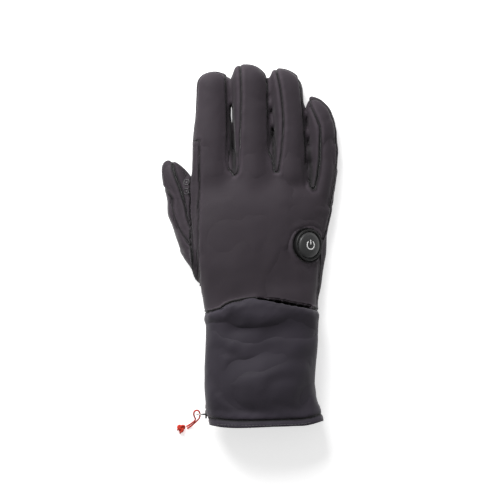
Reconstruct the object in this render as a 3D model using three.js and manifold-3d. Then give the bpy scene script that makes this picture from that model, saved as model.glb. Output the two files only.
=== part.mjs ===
// A right-hand heated winter glove, lying on its palm: four fingers, a thumb and a long gauntlet of
// padded softshell, with a push button on the back of the hand and a cord on the zip of the hem.
// Millimetres. +X is the little finger's side, +Y points to the fingertips, +Z is the back of the hand.
import * as THREE from 'three';
import { mergeVertices } from 'three/addons/utils/BufferGeometryUtils.js';
import Module from 'manifold-3d';

const wasm = await Module();
wasm.setup();

// Cloth and seams
const CLOTH = 2.0;
const SEAM_GAP = 0.3;
const ROLL = 0.13;
const SINK = 0.8;

// The hand, from the wrist seam to the knuckles
const PALM_LENGTH = 97;
const PALM_HALF = 55.4;
const PALM_HEIGHT = 38;
const PALM_AXIS_X = 10;
const PALM_RIDGE_X = 2;

// The gauntlet, from the wrist seam down to the hem
const GAUNTLET_LENGTH = 99.6;
const GAUNTLET_HALF = 43.4;
const GAUNTLET_HEIGHT = 43;
const GAUNTLET_AXIS_X = 8.4;
const ZIP_SLIT = 1.5;
const ZIP_TAPE_WIDTH = 7;
const ZIP_TAPE_THICK = 1.2;

// The thumb
const THUMB_LENGTH = 95.6;
const THUMB_HALF = 13.4;
const THUMB_HEIGHT = 24;
const THUMB_REACH = 35;
const THUMB_ROOT = { across: -0.605, along: 0.1134 };
const THUMB_DOME = 20;
const THUMB_SKEW = -0.42;

// The heating button on the back of the hand
const BUTTON = { across: 0.632, along: 0.423 };
const BUTTON_TILT = 34;
const BUTTON_HOLE_DEPTH = 28;
const RING_RADIUS = 12.2;
const RING_WIDTH = 1.7;
const RING_DEPTH = 6.2;
const RING_PROUD = 1.4;
const RING_CHAMFER = 0.5;
const CAP_DOME = 1.7;
const CAP_SUNK = 0.2;
const CAP_TRAVEL = 0.8;
const CAP_THICK = 2.2;

// The zip's slider, its wire bail and the pull cord
const SLIDER_LENGTH = 6.5;
const SLIDER_WIDTH = 6.4;
const SLIDER_THICK = 3.6;
const SLIDER_Z = 17;
const SLIDER_PLACE = { across: -0.975, along: -0.9 };
const SLIDER_PROUD = 1;
const SLIDER_ROOM = 9;
const EAR_RADIUS = 2.3;
const EAR_WIRE = 0.6;
const BAIL_RADIUS = 2.9;
const BAIL_WIRE = 0.45;
const CORD_DIAMETER = 1.3;
const KNOT_RADIUS = 3.1;

// How much of its length a finger reaches back into the hand, and the thickness that no section of
// a rounded end goes under.
const FINGER_ROOT = -0.34;
const SLIVER = 0.4;

// Each finger: half its width, its height, its length past the crotch, where the crotch lies as a
// share of the palm's length, its root as a share of half the palm, the sideways lean of its tip,
// the height of its middle at the root and at the tip, and its rounded end.
// Its outline rows hold a share of the length, then the left and right edges as shares of the half
// width, counted from the line through root and tip.
const FINGERS = {
  index: {
    half: 13.6, height: 24, length: 77.8, crotch: 1.003, root: -0.709, lean: 0.9,
    rootZ: 18.4, tipZ: 12.2, dome: 10.5, skew: 0.05,
    outline: [
      { at: FINGER_ROOT, left: 1.17, right: 1.4 },
      { at: -0.14, left: 1.18, right: 1.42 },
      { at: 0.06, left: 1.18, right: 1.17 },
      { at: 0.3, left: 1.15, right: 1.03 },
      { at: 0.5, left: 1.01, right: 0.92 },
      { at: 0.88, left: 0.95, right: 0.94 },
      { at: 1.0, left: 0.92, right: 0.92 },
    ],
  },
  middle: {
    half: 14.6, height: 24.5, length: 82, crotch: 1.02, root: -0.117, lean: -4.3,
    rootZ: 17, tipZ: 12.4, dome: 14, skew: -0.32,
    outline: [
      { at: FINGER_ROOT, left: 1.25, right: 1.25 },
      { at: -0.14, left: 1.26, right: 1.2 },
      { at: 0.06, left: 1.04, right: 1.0 },
      { at: 0.3, left: 0.97, right: 0.97 },
      { at: 0.6, left: 1.0, right: 0.96 },
      { at: 0.88, left: 0.97, right: 0.96 },
      { at: 1.0, left: 0.97, right: 0.94 },
    ],
  },
  ring: {
    half: 12.6, height: 23, length: 77, crotch: 1.04, root: 0.397, lean: -5,
    rootZ: 14.6, tipZ: 11.8, dome: 15, skew: -0.5,
    outline: [
      { at: FINGER_ROOT, left: 1.3, right: 1.36 },
      { at: -0.2, left: 1.24, right: 1.24 },
      { at: -0.08, left: 1.18, right: 1.06 },
      { at: 0.06, left: 0.98, right: 1.0 },
      { at: 0.26, left: 0.95, right: 1.03 },
      { at: 0.5, left: 0.9, right: 1.0 },
      { at: 0.8, left: 1.02, right: 0.98 },
      { at: 1.0, left: 1.02, right: 0.98 },
    ],
  },
  little: {
    half: 11, height: 20.5, length: 68.3, crotch: 0.906, root: 0.845, lean: -3.3,
    rootZ: 11.2, tipZ: 10.4, dome: 26, skew: -0.74,
    outline: [
      { at: FINGER_ROOT, left: 1.2, right: 0.3 },
      { at: -0.14, left: 1.14, right: 0.62 },
      { at: 0.06, left: 0.84, right: 0.9 },
      { at: 0.3, left: 0.82, right: 1.1 },
      { at: 0.45, left: 0.84, right: 1.13 },
      { at: 0.7, left: 0.86, right: 1.06 },
      { at: 1.0, left: 0.95, right: 1.04 },
    ],
  },
};

// Half the height of a finger along its length, as shares of its height's half.
const FINGER_DEPTH = [
  { at: FINGER_ROOT, up: 0.62, down: 0.8 },
  { at: -0.14, up: 0.96, down: 1.0 },
  { at: 0.06, up: 1.04, down: 1.04 },
  { at: 0.3, up: 1.0, down: 1.0 },
  { at: 0.7, up: 0.96, down: 1.0 },
  { at: 1.0, up: 0.86, down: 0.98 },
];

// The hand's outline: shares of its length, of half its width each way from its axis, and of its
// height for its top and for its lifted underside, then how square its back is and how far it rolls
// down to the little finger's side.
const HAND = [
  { at: -0.14, left: 0.81, right: 0.765, top: 1.02, lift: 0, square: 2.35, roll: 0.35 },
  { at: 0.0, left: 0.843, right: 0.75, top: 1.0, lift: 0, square: 2.3, roll: 0.5 },
  { at: 0.11, left: 0.885, right: 0.79, top: 0.98, lift: 0, square: 2.2, roll: 0.8 },
  { at: 0.25, left: 0.945, right: 0.825, top: 0.98, lift: 0, square: 2.1, roll: 1.1 },
  { at: 0.42, left: 0.985, right: 0.872, top: 0.97, lift: 0, square: 2.15, roll: 1.2 },
  { at: 0.57, left: 1.0, right: 0.918, top: 0.93, lift: 0, square: 2.3, roll: 1.1 },
  { at: 0.71, left: 1.0, right: 0.968, top: 0.87, lift: 0, square: 2.6, roll: 0.9 },
  { at: 0.82, left: 0.995, right: 0.99, top: 0.8, lift: 0.02, square: 2.8, roll: 0.75 },
  { at: 0.89, left: 0.975, right: 0.95, top: 0.7, lift: 0.07, square: 2.8, roll: 0.65 },
  { at: 0.93, left: 0.93, right: 0.88, top: 0.55, lift: 0.16, square: 2.6, roll: 0.6 },
];

// The thumb from its root in the palm: the line of its middle as a share of its reach, its edges as
// shares of half its width, its height as a share, and the height of its middle as a share of it.
const THUMB = [
  { at: 0.0, axis: 0.0, left: 1.16, right: 1.16, depth: 1.15, middle: 0.84 },
  { at: 0.1, axis: 0.17, left: 1.12, right: 1.12, depth: 1.14, middle: 0.78 },
  { at: 0.25, axis: 0.46, left: 1.09, right: 1.09, depth: 1.1, middle: 0.66 },
  { at: 0.35, axis: 0.53, left: 1.08, right: 1.05, depth: 1.06, middle: 0.6 },
  { at: 0.44, axis: 0.61, left: 1.05, right: 1.01, depth: 1.0, middle: 0.55 },
  { at: 0.54, axis: 0.75, left: 1.04, right: 1.0, depth: 0.96, middle: 0.51 },
  { at: 0.67, axis: 0.79, left: 0.96, right: 0.94, depth: 0.93, middle: 0.49 },
  { at: 0.78, axis: 0.87, left: 0.96, right: 0.9, depth: 0.91, middle: 0.48 },
  { at: 0.87, axis: 0.94, left: 0.9, right: 0.86, depth: 0.88, middle: 0.47 },
  { at: 1.0, axis: 1.02, left: 0.86, right: 0.86, depth: 0.8, middle: 0.46 },
];

// The gauntlet, from the wrist seam to the hem.
const GAUNTLET = [
  { at: -0.06, left: 1.03, right: 1.02, top: 0.94 },
  { at: 0.02, left: 1.03, right: 1.0, top: 0.97 },
  { at: 0.09, left: 1.01, right: 1.0, top: 1.03 },
  { at: 0.15, left: 0.995, right: 1.02, top: 1.02 },
  { at: 0.25, left: 0.99, right: 1.02, top: 0.97 },
  { at: 0.41, left: 0.995, right: 1.0, top: 0.98 },
  { at: 0.52, left: 1.01, right: 0.975, top: 0.99 },
  { at: 0.65, left: 1.01, right: 0.96, top: 1.0 },
  { at: 0.74, left: 1.01, right: 0.98, top: 0.99 },
  { at: 0.83, left: 0.99, right: 1.03, top: 0.97 },
  { at: 0.9, left: 0.965, right: 1.1, top: 0.95 },
  { at: 0.96, left: 0.915, right: 1.1, top: 0.94 },
  { at: 1.04, left: 0.9, right: 1.07, top: 0.93 },
];

// Folds of the gauntlet's back: their middle as shares of half the width and of the length, their
// length and width as shares of half the width, the turn in degrees, and the height as a share of
// the gauntlet's height.
const FOLDS = [
  { across: -0.54, down: 0.19, long: 0.4, wide: 0.085, turn: -15, rise: -0.12 },
  { across: 0.52, down: 0.19, long: 0.55, wide: 0.09, turn: 2, rise: -0.07 },
  { across: 0.1, down: 0.2, long: 0.22, wide: 0.07, turn: 0, rise: 0.03 },
  { across: -0.6, down: 0.37, long: 0.15, wide: 0.07, turn: -8, rise: -0.035 },
  { across: -0.43, down: 0.46, long: 0.2, wide: 0.09, turn: 42, rise: -0.06 },
  { across: 0.05, down: 0.42, long: 0.38, wide: 0.085, turn: 3, rise: -0.075 },
  { across: 0.3, down: 0.47, long: 0.4, wide: 0.09, turn: 4, rise: 0.03 },
  { across: -0.64, down: 0.63, long: 0.26, wide: 0.1, turn: 82, rise: -0.045 },
  { across: -0.48, down: 0.76, long: 0.26, wide: 0.085, turn: -34, rise: -0.055 },
  { across: 0.0, down: 0.66, long: 0.42, wide: 0.3, turn: 0, rise: 0.05 },
  { across: 0.8, down: 0.76, long: 0.2, wide: 0.14, turn: 60, rise: -0.07 },
  { across: 0.1, down: 0.89, long: 0.7, wide: 0.07, turn: 0, rise: -0.025 },
];

// Soft dents of the hand's back, in shares of half the palm's width and of its length.
const HAND_FOLDS = [
  { across: 0.62, down: 0.86, long: 0.14, wide: 0.1, turn: 0, rise: -0.06 },
  { across: 0.86, down: 0.71, long: 0.12, wide: 0.06, turn: -25, rise: -0.06 },
  { across: 0.45, down: 0.13, long: 0.4, wide: 0.1, turn: 4, rise: -0.045 },
  { across: -0.72, down: 1.06, long: 0.22, wide: 0.06, turn: -38, rise: -0.04 },
];

// The wrist seam, as shares of half the gauntlet's width and of the gauntlet's length.
const WRIST_SEAM = [
  { across: -1.3, along: -0.125 }, { across: -1.0, along: -0.108 }, { across: -0.72, along: -0.08 },
  { across: -0.6, along: -0.041 }, { across: -0.41, along: -0.022 }, { across: -0.2, along: 0.0 },
  { across: -0.07, along: -0.004 }, { across: 0.18, along: -0.02 }, { across: 0.36, along: -0.034 },
  { across: 0.61, along: -0.055 }, { across: 0.97, along: -0.082 }, { across: 1.3, along: -0.1 },
];
// The edge of the gauntlet over the zip, and the lower edge of the hem, in the same shares.
const ZIP_LINE = [
  { across: -1.3, along: -0.9 }, { across: -0.9, along: -0.918 }, { across: -0.56, along: -0.932 },
  { across: -0.02, along: -0.932 }, { across: 0.52, along: -0.925 }, { across: 0.82, along: -0.918 },
  { across: 1.08, along: -0.883 }, { across: 1.3, along: -0.86 },
];
const HEM_LINE = [
  { across: -1.3, along: -0.965 }, { across: -0.91, along: -0.975 }, { across: -0.63, along: -0.995 },
  { across: -0.4, along: -1.0 }, { across: 0.06, along: -0.991 }, { across: 0.66, along: -0.985 },
  { across: 0.82, along: -0.975 }, { across: 1.1, along: -0.938 }, { across: 1.3, along: -0.92 },
];

// The seams round the gusset between two fingers: along as a share of the finger's length, across
// as a share of its half width. The gusset's end drops below the crotch by a share of the half width
// of the finger on its right.
const GUSSETS = [
  {
    name: 'fourchette_index_middle',
    left: 'index',
    right: 'middle',
    end: { across: -1.09, drop: 0.363 },
    down: [
      { along: 1.1, across: 0.66 }, { along: 0.95, across: 0.7 }, { along: 0.47, across: 0.81 },
      { along: 0.16, across: 0.84 }, { along: 0.01, across: 0.98 },
    ],
    up: [
      { along: -0.01, across: -0.91 }, { along: 0.14, across: -0.8 }, { along: 0.34, across: -0.72 },
      { along: 0.67, across: -0.55 }, { along: 0.97, across: -0.5 }, { along: 1.1, across: -0.5 },
    ],
  },
  {
    name: 'fourchette_middle_ring',
    left: 'middle',
    right: 'ring',
    end: { across: -1.0, drop: 0.31 },
    down: [
      { along: 1.1, across: 0.88 }, { along: 0.86, across: 0.9 }, { along: 0.57, across: 0.86 },
      { along: 0.33, across: 0.8 }, { along: 0.14, across: 0.84 }, { along: 0.0, across: 0.93 },
    ],
    up: [
      { along: -0.03, across: -0.83 }, { along: 0.2, across: -0.56 }, { along: 0.44, across: -0.36 },
      { along: 0.67, across: -0.35 }, { along: 0.87, across: -0.47 }, { along: 1.0, across: -0.62 },
      { along: 1.1, across: -0.7 },
    ],
  },
  {
    name: 'fourchette_ring_little',
    left: 'ring',
    right: 'little',
    end: { across: -0.86, drop: 0.391 },
    down: [
      { along: 1.1, across: 0.7 }, { along: 0.86, across: 0.82 }, { along: 0.68, across: 0.87 },
      { along: 0.27, across: 0.93 }, { along: 0.03, across: 0.91 }, { along: -0.16, across: 0.93 },
    ],
    up: [
      { along: -0.04, across: -0.6 }, { along: 0.17, across: -0.27 }, { along: 0.44, across: -0.13 },
      { along: 0.66, across: -0.1 }, { along: 0.78, across: -0.4 }, { along: 0.97, across: -0.88 },
      { along: 1.15, across: -0.95 },
    ],
  },
];

// The seam between the thumb's back and its grip, and the seam of its outer strip, as shares of the
// thumb's length and of half its width from its middle line.
const THUMB_GRIP_SEAM = [
  { along: 1.1, across: -0.1 }, { along: 0.995, across: -0.1 }, { along: 0.918, across: -0.14 },
  { along: 0.818, across: -0.05 }, { along: 0.705, across: 0.0 }, { along: 0.609, across: 0.07 },
  { along: 0.5, across: 0.0 }, { along: 0.43, across: -0.02 }, { along: 0.4, across: 0.12 },
  { along: 0.385, across: 0.5 }, { along: 0.38, across: 1.3 },
];
const THUMB_STRIP_SEAM = [
  { along: 1.1, across: -3.0 }, { along: 0.87, across: -1.9 }, { along: 0.78, across: -1.02 },
  { along: 0.713, across: -0.61 }, { along: 0.592, across: -0.69 }, { along: 0.463, across: -0.75 },
  { along: 0.383, across: -0.6 }, { along: 0.31, across: -0.33 }, { along: 0.255, across: 0.07 },
  { along: 0.23, across: 0.6 }, { along: 0.22, across: 1.4 },
];

// The pull cord: doubled, from the knot on the ground up through the bail and back, as chosen points
// from the middle of the bail.
const CORD_ROUTE = [
  [-10.3, -11.7, -16.1], [-8.4, -10.5, -16.0], [-6.3, -8.9, -14.9], [-4.3, -7.1, -12.4], [-2.5, -5.3, -9.2],
  [-1.2, -3.8, -6.0], [-0.5, -2.4, -3.0], [-0.2, -0.9, -0.9], [-0.3, 0.9, 0.4], [-1.1, 2.5, 1.0],
  [-2.6, 3.1, 1.2], [-4.2, 2.4, 0.8], [-4.9, 0.6, -0.2], [-4.7, -1.3, -1.9], [-4.1, -2.8, -4.4],
  [-3.8, -4.1, -7.4], [-4.5, -5.5, -10.6], [-6.2, -7.0, -13.6], [-8.3, -8.6, -15.5], [-10.9, -10.1, -16.1],
];

const materials = {
  softshell: new THREE.MeshStandardMaterial({ color: 0x3c383c, roughness: 0.85, metalness: 0 }),
  gauntlet: new THREE.MeshStandardMaterial({ color: 0x38363c, roughness: 0.85, metalness: 0 }),
  grip: new THREE.MeshStandardMaterial({ color: 0x333034, roughness: 0.9, metalness: 0 }),
  zip: new THREE.MeshStandardMaterial({ color: 0x141316, roughness: 0.6, metalness: 0 }),
  metal: new THREE.MeshStandardMaterial({ color: 0x8a8a86, roughness: 0.3, metalness: 1 }),
  plastic: new THREE.MeshStandardMaterial({ color: 0x1b1b1e, roughness: 0.4, metalness: 0 }),
  button: new THREE.MeshStandardMaterial({ color: 0x4a4d52, roughness: 0.35, metalness: 0 }),
  cord: new THREE.MeshStandardMaterial({ color: 0xd8402f, roughness: 0.8, metalness: 0 }),
};

// Reads a column of a table at a share, along smooth curves through its rows.
function read(table, column, at) {
  const last = table.length - 1;
  let i = 0;
  while (i < last - 1 && at > table[i + 1].at) i += 1;
  const slope = (k) => {
    const a = table[Math.max(k - 1, 0)];
    const b = table[Math.min(k + 1, last)];
    return (b[column] - a[column]) / (b.at - a.at);
  };
  const from = table[i];
  const to = table[i + 1];
  const span = to.at - from.at;
  const t = THREE.MathUtils.clamp((at - from.at) / span, 0, 1);
  const t2 = t * t;
  const t3 = t2 * t;
  return (2 * t3 - 3 * t2 + 1) * from[column] + (t3 - 2 * t2 + t) * span * slope(i)
    + (3 * t2 - 2 * t3) * to[column] + (t3 - t2) * span * slope(i + 1);
}

// The height that a table of folds adds at a point given in shares.
function folded(folds, across, down) {
  let rise = 0;
  for (const f of folds) {
    const turn = THREE.MathUtils.degToRad(f.turn);
    const dx = across - f.across;
    const dy = f.down - down;
    const along = dx * Math.cos(turn) + dy * Math.sin(turn);
    const aside = dy * Math.cos(turn) - dx * Math.sin(turn);
    rise += f.rise * Math.exp(-((along / f.long) ** 2) - (aside / f.wide) ** 2);
  }
  return rise;
}

// A geometry as a solid, with its shared corners merged.
function solid(geometry) {
  geometry.deleteAttribute('normal');
  geometry.deleteAttribute('uv');
  const merged = mergeVertices(geometry, 1e-4);
  return new wasm.Manifold(new wasm.Mesh({
    numProp: 3,
    vertProperties: merged.attributes.position.array,
    triVerts: new Uint32Array(merged.index.array),
  }));
}

// A tube lofted from a plain cylinder: section(share, inset) gives each cross-section, which is
// square to Y, as its place, its reach to each side and up and down, and its squareness.
function loft(section, stations, sides, inset) {
  const geometry = new THREE.CylinderGeometry(1, 1, 1, sides, stations.length - 1);
  const place = geometry.attributes.position;
  const sections = stations.map((share) => section(share, inset));
  for (let i = 0; i < place.count; i += 1) {
    const step = Math.round((place.getY(i) + 0.5) * (stations.length - 1));
    const s = sections[step];
    const radius = Math.min(1, Math.hypot(place.getX(i), place.getZ(i)));
    const angle = Math.atan2(place.getZ(i), place.getX(i));
    const c = Math.cos(angle);
    const n = Math.sin(angle);
    const wide = (c < 0 ? s.left : s.right) * radius;
    const tall = (n < 0 ? s.down : s.up) * radius;
    const square = n < 0 ? s.squareBelow : s.squareAbove;
    const x = s.x + Math.sign(c) * wide * Math.abs(c) ** (2 / square);
    const z = s.z + Math.sign(n) * tall * Math.abs(n) ** (2 / square);
    const lifted = z + ROLL * s.rolled * (s.x - x);
    place.setXYZ(i, x, s.y, lifted + (n > 0 ? s.fold(x) * n : 0));
  }
  return solid(geometry);
}

// Shares from a to b: even, and then close together in the rounded end.
const END_BLUNTNESS = 0.35;
function stationsOf(from, dome, even, round) {
  const list = [];
  for (let i = 0; i < even; i += 1) list.push(from + ((dome - from) * i) / even);
  for (let i = 0; i <= round; i += 1) {
    const turn = (Math.PI / 2) * (i / (round + END_BLUNTNESS));
    list.push(dome + (1 - dome) * Math.sin(turn));
  }
  return list;
}

// How wide a rounded end still is at a distance past its start, both as shares, and how tall.
const END_SQUARE = 2.2;
const END_SOFTNESS = 0.85;
function rounded(share, dome) {
  const past = THREE.MathUtils.clamp((share - dome) / (1 - dome), 0, 0.999);
  return (1 - past ** END_SQUARE) ** (1 / END_SQUARE);
}

const noFold = () => 0;

// How square each form's cross-section is: 2 is an ellipse.
const SQUARE = {
  palm: 2.9, gauntletBack: 2.35, gauntletBelow: 3.2, fingerBack: 2.2, fingerBelow: 3.1, thumbBelow: 2.4,
};
const GAUNTLET_ROLL = 0.35;

// The wall at a rounded end, which grows to its whole thickness over the last stretch.
const END_FROM = 0.9;
const endInset = (share, inset) => (inset * Math.max(share - END_FROM, 0)) / (1 - END_FROM);

function handSection(share, inset) {
  const left = PALM_AXIS_X - PALM_HALF * read(HAND, 'left', share);
  const right = PALM_AXIS_X + PALM_HALF * read(HAND, 'right', share);
  const floor = PALM_HEIGHT * read(HAND, 'lift', share);
  const half = (PALM_HEIGHT * read(HAND, 'top', share) - floor) / 2;
  return {
    x: PALM_RIDGE_X,
    y: PALM_LENGTH * share - (share > END_FROM ? inset : 0),
    z: floor + half,
    left: PALM_RIDGE_X - left - inset,
    right: right - PALM_RIDGE_X - inset,
    up: half - inset,
    down: half + SINK - inset,
    squareAbove: read(HAND, 'square', share),
    squareBelow: SQUARE.palm,
    rolled: read(HAND, 'roll', share),
    fold: (x) => PALM_HEIGHT * folded(HAND_FOLDS, (x - PALM_AXIS_X) / PALM_HALF, share),
  };
}

function gauntletSection(share, inset) {
  const half = (GAUNTLET_HEIGHT * read(GAUNTLET, 'top', share)) / 2;
  return {
    x: GAUNTLET_AXIS_X,
    y: -GAUNTLET_LENGTH * share,
    z: half,
    left: GAUNTLET_HALF * read(GAUNTLET, 'left', share) - inset,
    right: GAUNTLET_HALF * read(GAUNTLET, 'right', share) - inset,
    up: half - inset,
    down: half + SINK - inset,
    squareAbove: SQUARE.gauntletBack,
    squareBelow: SQUARE.gauntletBelow,
    rolled: GAUNTLET_ROLL,
    fold: (x) => GAUNTLET_HEIGHT * folded(FOLDS, (x - GAUNTLET_AXIS_X) / GAUNTLET_HALF, share),
  };
}

const rootX = (f) => PALM_AXIS_X + PALM_HALF * f.root;
const axisX = (f, share) => rootX(f) + f.lean * share;
const crotchY = (f) => PALM_LENGTH * f.crotch;

function fingerSection(f) {
  return (share, inset) => {
    const dome = 1 - f.dome / f.length;
    const round = rounded(share, dome);
    const axis = axisX(f, share);
    const leftEdge = axis - f.half * read(f.outline, 'left', share);
    const rightEdge = axis + f.half * read(f.outline, 'right', share);
    const point = axisX(f, 1) + f.skew * f.half;
    const left = share > dome ? point + (leftEdge - point) * round : leftEdge;
    const right = share > dome ? point + (rightEdge - point) * round : rightEdge;
    const middle = (left + right) / 2;
    const wide = Math.max((right - left) / 2 - inset, SLIVER);
    const tall = (f.height / 2) * (share > dome ? round ** END_SOFTNESS : 1);
    return {
      x: middle,
      y: crotchY(f) + f.length * share - endInset(share, inset),
      z: THREE.MathUtils.lerp(f.rootZ, f.tipZ, Math.max(0, share)),
      left: wide,
      right: wide,
      up: Math.max(tall * read(FINGER_DEPTH, 'up', share) - inset, SLIVER),
      down: Math.max(tall * read(FINGER_DEPTH, 'down', share) - inset, SLIVER),
      squareAbove: SQUARE.fingerBack,
      squareBelow: SQUARE.fingerBelow,
      rolled: 1,
      fold: noFold,
    };
  };
}

const thumbRootX = PALM_AXIS_X + PALM_HALF * THUMB_ROOT.across;
const thumbRootY = PALM_LENGTH * THUMB_ROOT.along;
const thumbAxis = (share) => thumbRootX - THUMB_REACH * read(THUMB, 'axis', share);

function thumbSection(share, inset) {
  const dome = 1 - THUMB_DOME / THUMB_LENGTH;
  const round = rounded(share, dome);
  const axis = thumbAxis(share);
  const leftEdge = axis - THUMB_HALF * read(THUMB, 'left', share);
  const rightEdge = axis + THUMB_HALF * read(THUMB, 'right', share);
  const point = thumbAxis(1) + THUMB_SKEW * THUMB_HALF;
  const left = share > dome ? point + (leftEdge - point) * round : leftEdge;
  const right = share > dome ? point + (rightEdge - point) * round : rightEdge;
  const wide = Math.max((right - left) / 2 - inset, SLIVER);
  const depth = THUMB_HEIGHT * read(THUMB, 'depth', share);
  const tall = Math.max((depth / 2) * round ** END_SOFTNESS - inset, SLIVER);
  return {
    x: (left + right) / 2,
    y: thumbRootY + THUMB_LENGTH * share - endInset(share, inset),
    z: THUMB_HEIGHT * read(THUMB, 'middle', share),
    left: wide,
    right: wide,
    up: tall,
    down: tall + SINK * round,
    squareAbove: SQUARE.fingerBack,
    squareBelow: SQUARE.thumbBelow,
    rolled: 0,
    fold: noFold,
  };
}

// An upright prism of a plan outline, tall enough to pass through the whole glove.
const ABOVE_ALL = 90;
const BELOW_ALL = -20;
const FAR = 260;
function prism(outline, bottom = BELOW_ALL, top = ABOVE_ALL) {
  const shape = new THREE.Shape(outline.map(([x, y]) => new THREE.Vector2(x, y)));
  const geometry = new THREE.ExtrudeGeometry(shape, { depth: top - bottom, bevelEnabled: false });
  return solid(geometry.translate(0, 0, bottom));
}

// A block from one corner to the other.
function block(low, high) {
  const size = high.map((v, i) => v - low[i]);
  const geometry = new THREE.BoxGeometry(...size);
  return solid(geometry.translate(...high.map((v, i) => (v + low[i]) / 2)));
}

// A smooth line through plan points.
const GUSSET_STEPS = 17;
const SEAM_STEPS = 16;
function smoothLine(points, steps) {
  const line = new THREE.SplineCurve(points.map(([x, y]) => new THREE.Vector2(x, y)));
  return line.getPoints(steps).map((p) => [p.x, p.y]);
}

// The line moved to its left by a distance.
function moved(line, distance) {
  return line.map((p, i) => {
    const a = line[Math.max(i - 1, 0)];
    const b = line[Math.min(i + 1, line.length - 1)];
    const long = Math.hypot(b[0] - a[0], b[1] - a[1]);
    return [p[0] - ((b[1] - a[1]) / long) * distance, p[1] + ((b[0] - a[0]) / long) * distance];
  });
}

// Everything on the fingers' side of a line across the glove, lifted along Y.
function beyond(points, lift) {
  const line = smoothLine(points, SEAM_STEPS).map(([x, y]) => [x, y + lift]);
  const first = line[0];
  const last = line[line.length - 1];
  return prism([...line, [FAR, last[1]], [FAR, FAR], [-FAR, FAR], [-FAR, first[1]]]);
}

const acrossGauntlet = (line) => line.map(({ across, along }) => [
  GAUNTLET_AXIS_X + GAUNTLET_HALF * across,
  GAUNTLET_LENGTH * along,
]);

const wristLine = acrossGauntlet(WRIST_SEAM);
const zipLine = acrossGauntlet(ZIP_LINE);
const hemLine = acrossGauntlet(HEM_LINE);
const floorBlock = block([-FAR, -FAR, BELOW_ALL], [FAR, FAR, 0]);
const floorUnderCloth = block([-FAR, -FAR, BELOW_ALL], [FAR, FAR, CLOTH]);

// The hand and fingers
const HAND_STATIONS = HAND.map((row) => row.at);
const PALM_SIDES = 28;
const FINGER_SIDES = 16;

const fingerShape = (f, inset, sides, even, round) => loft(
  fingerSection(f),
  stationsOf(FINGER_ROOT, 1 - f.dome / f.length, even, round),
  sides,
  inset,
);

function handShape(inset, palmSides, sides, even, round) {
  let form = loft(handSection, HAND_STATIONS, palmSides, inset);
  for (const f of Object.values(FINGERS)) form = form.add(fingerShape(f, inset, sides, even, round));
  return form;
}

const handOuter = handShape(0, PALM_SIDES, FINGER_SIDES, 4, 4);
const handInner = handShape(CLOTH, FINGER_SIDES, FINGER_SIDES / 2, 4, 3);

const thumbShape = (inset, sides, even, round) => loft(
  thumbSection,
  stationsOf(0, 1 - THUMB_DOME / THUMB_LENGTH, even, round),
  sides,
  inset,
);
const thumbOuter = thumbShape(0, FINGER_SIDES, 7, 4);
const thumbInner = thumbShape(CLOTH, FINGER_SIDES / 2, 6, 3);

const handShell = handOuter.subtract(floorBlock)
  .subtract(handInner.subtract(floorUnderCloth))
  .subtract(thumbInner.subtract(floorUnderCloth))
  .intersect(beyond(wristLine, SEAM_GAP / 2));

const thumbShell = thumbOuter.subtract(floorBlock)
  .subtract(thumbInner.subtract(floorUnderCloth))
  .subtract(handShape(-SEAM_GAP, PALM_SIDES, FINGER_SIDES, 4, 4));

// The line round a gusset, from the tip of one finger down round the crotch and up the next.
function gussetLine(g) {
  const left = FINGERS[g.left];
  const right = FINGERS[g.right];
  const on = (f, { along, across }) => [
    axisX(f, along) + across * f.half,
    crotchY(f) + along * f.length,
  ];
  return [
    ...g.down.map((p) => on(left, p)),
    [rootX(right) + g.end.across * right.half, crotchY(right) - g.end.drop * right.half],
    ...g.up.map((p) => on(right, p)),
  ];
}

const FINGERTIP_ROOM = 10;
function gussetPrism(g, grow) {
  const line = moved(smoothLine(gussetLine(g), GUSSET_STEPS), -grow);
  const topY = Math.max(line[0][1], line[line.length - 1][1]) + FINGERTIP_ROOM;
  return prism([[line[0][0], topY], ...line, [line[line.length - 1][0], topY]]);
}

// The palm panel's part of the hand: below the side seam, which runs over the edge of the hand's
// back beside the index finger and along the middle of the side elsewhere.
const EDGE_SEAM_X = PALM_AXIS_X - PALM_HALF * 0.917;
const EDGE_SEAM_Z = PALM_HEIGHT * 0.895;
const SIDE_SEAM_Z = PALM_HEIGHT * 0.29;
const EDGE_SEAM_STEP = 4;
const EDGE_SEAM_END = PALM_LENGTH * 1.25;

function belowSideSeam(lift) {
  const along = (edgeZ, from, to) => {
    const shape = new THREE.Shape([
      new THREE.Vector2(-FAR, edgeZ + lift),
      new THREE.Vector2(-FAR, BELOW_ALL),
      new THREE.Vector2(FAR, BELOW_ALL),
      new THREE.Vector2(FAR, SIDE_SEAM_Z + lift),
      new THREE.Vector2(EDGE_SEAM_X + EDGE_SEAM_STEP + lift, SIDE_SEAM_Z + EDGE_SEAM_STEP + lift),
      new THREE.Vector2(EDGE_SEAM_X + lift, edgeZ + lift),
    ]);
    const geometry = new THREE.ExtrudeGeometry(shape, { depth: to - from, bevelEnabled: false });
    return solid(geometry.rotateX(Math.PI / 2).translate(0, to, 0));
  };
  return along(EDGE_SEAM_Z, -FAR, EDGE_SEAM_END + lift)
    .add(along(FINGERS.index.rootZ, EDGE_SEAM_END - 1, FAR));
}

// The button: a ring set through the cloth, and a domed cap that is pressed into it.
const tilt = THREE.MathUtils.degToRad(BUTTON_TILT);
const buttonTurn = new THREE.Matrix4().makeRotationY(tilt);
const turned = (profile, sides) => {
  const geometry = new THREE.LatheGeometry(profile.map(([x, y]) => new THREE.Vector2(x, y)), sides);
  return geometry.rotateX(Math.PI / 2);
};

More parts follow.
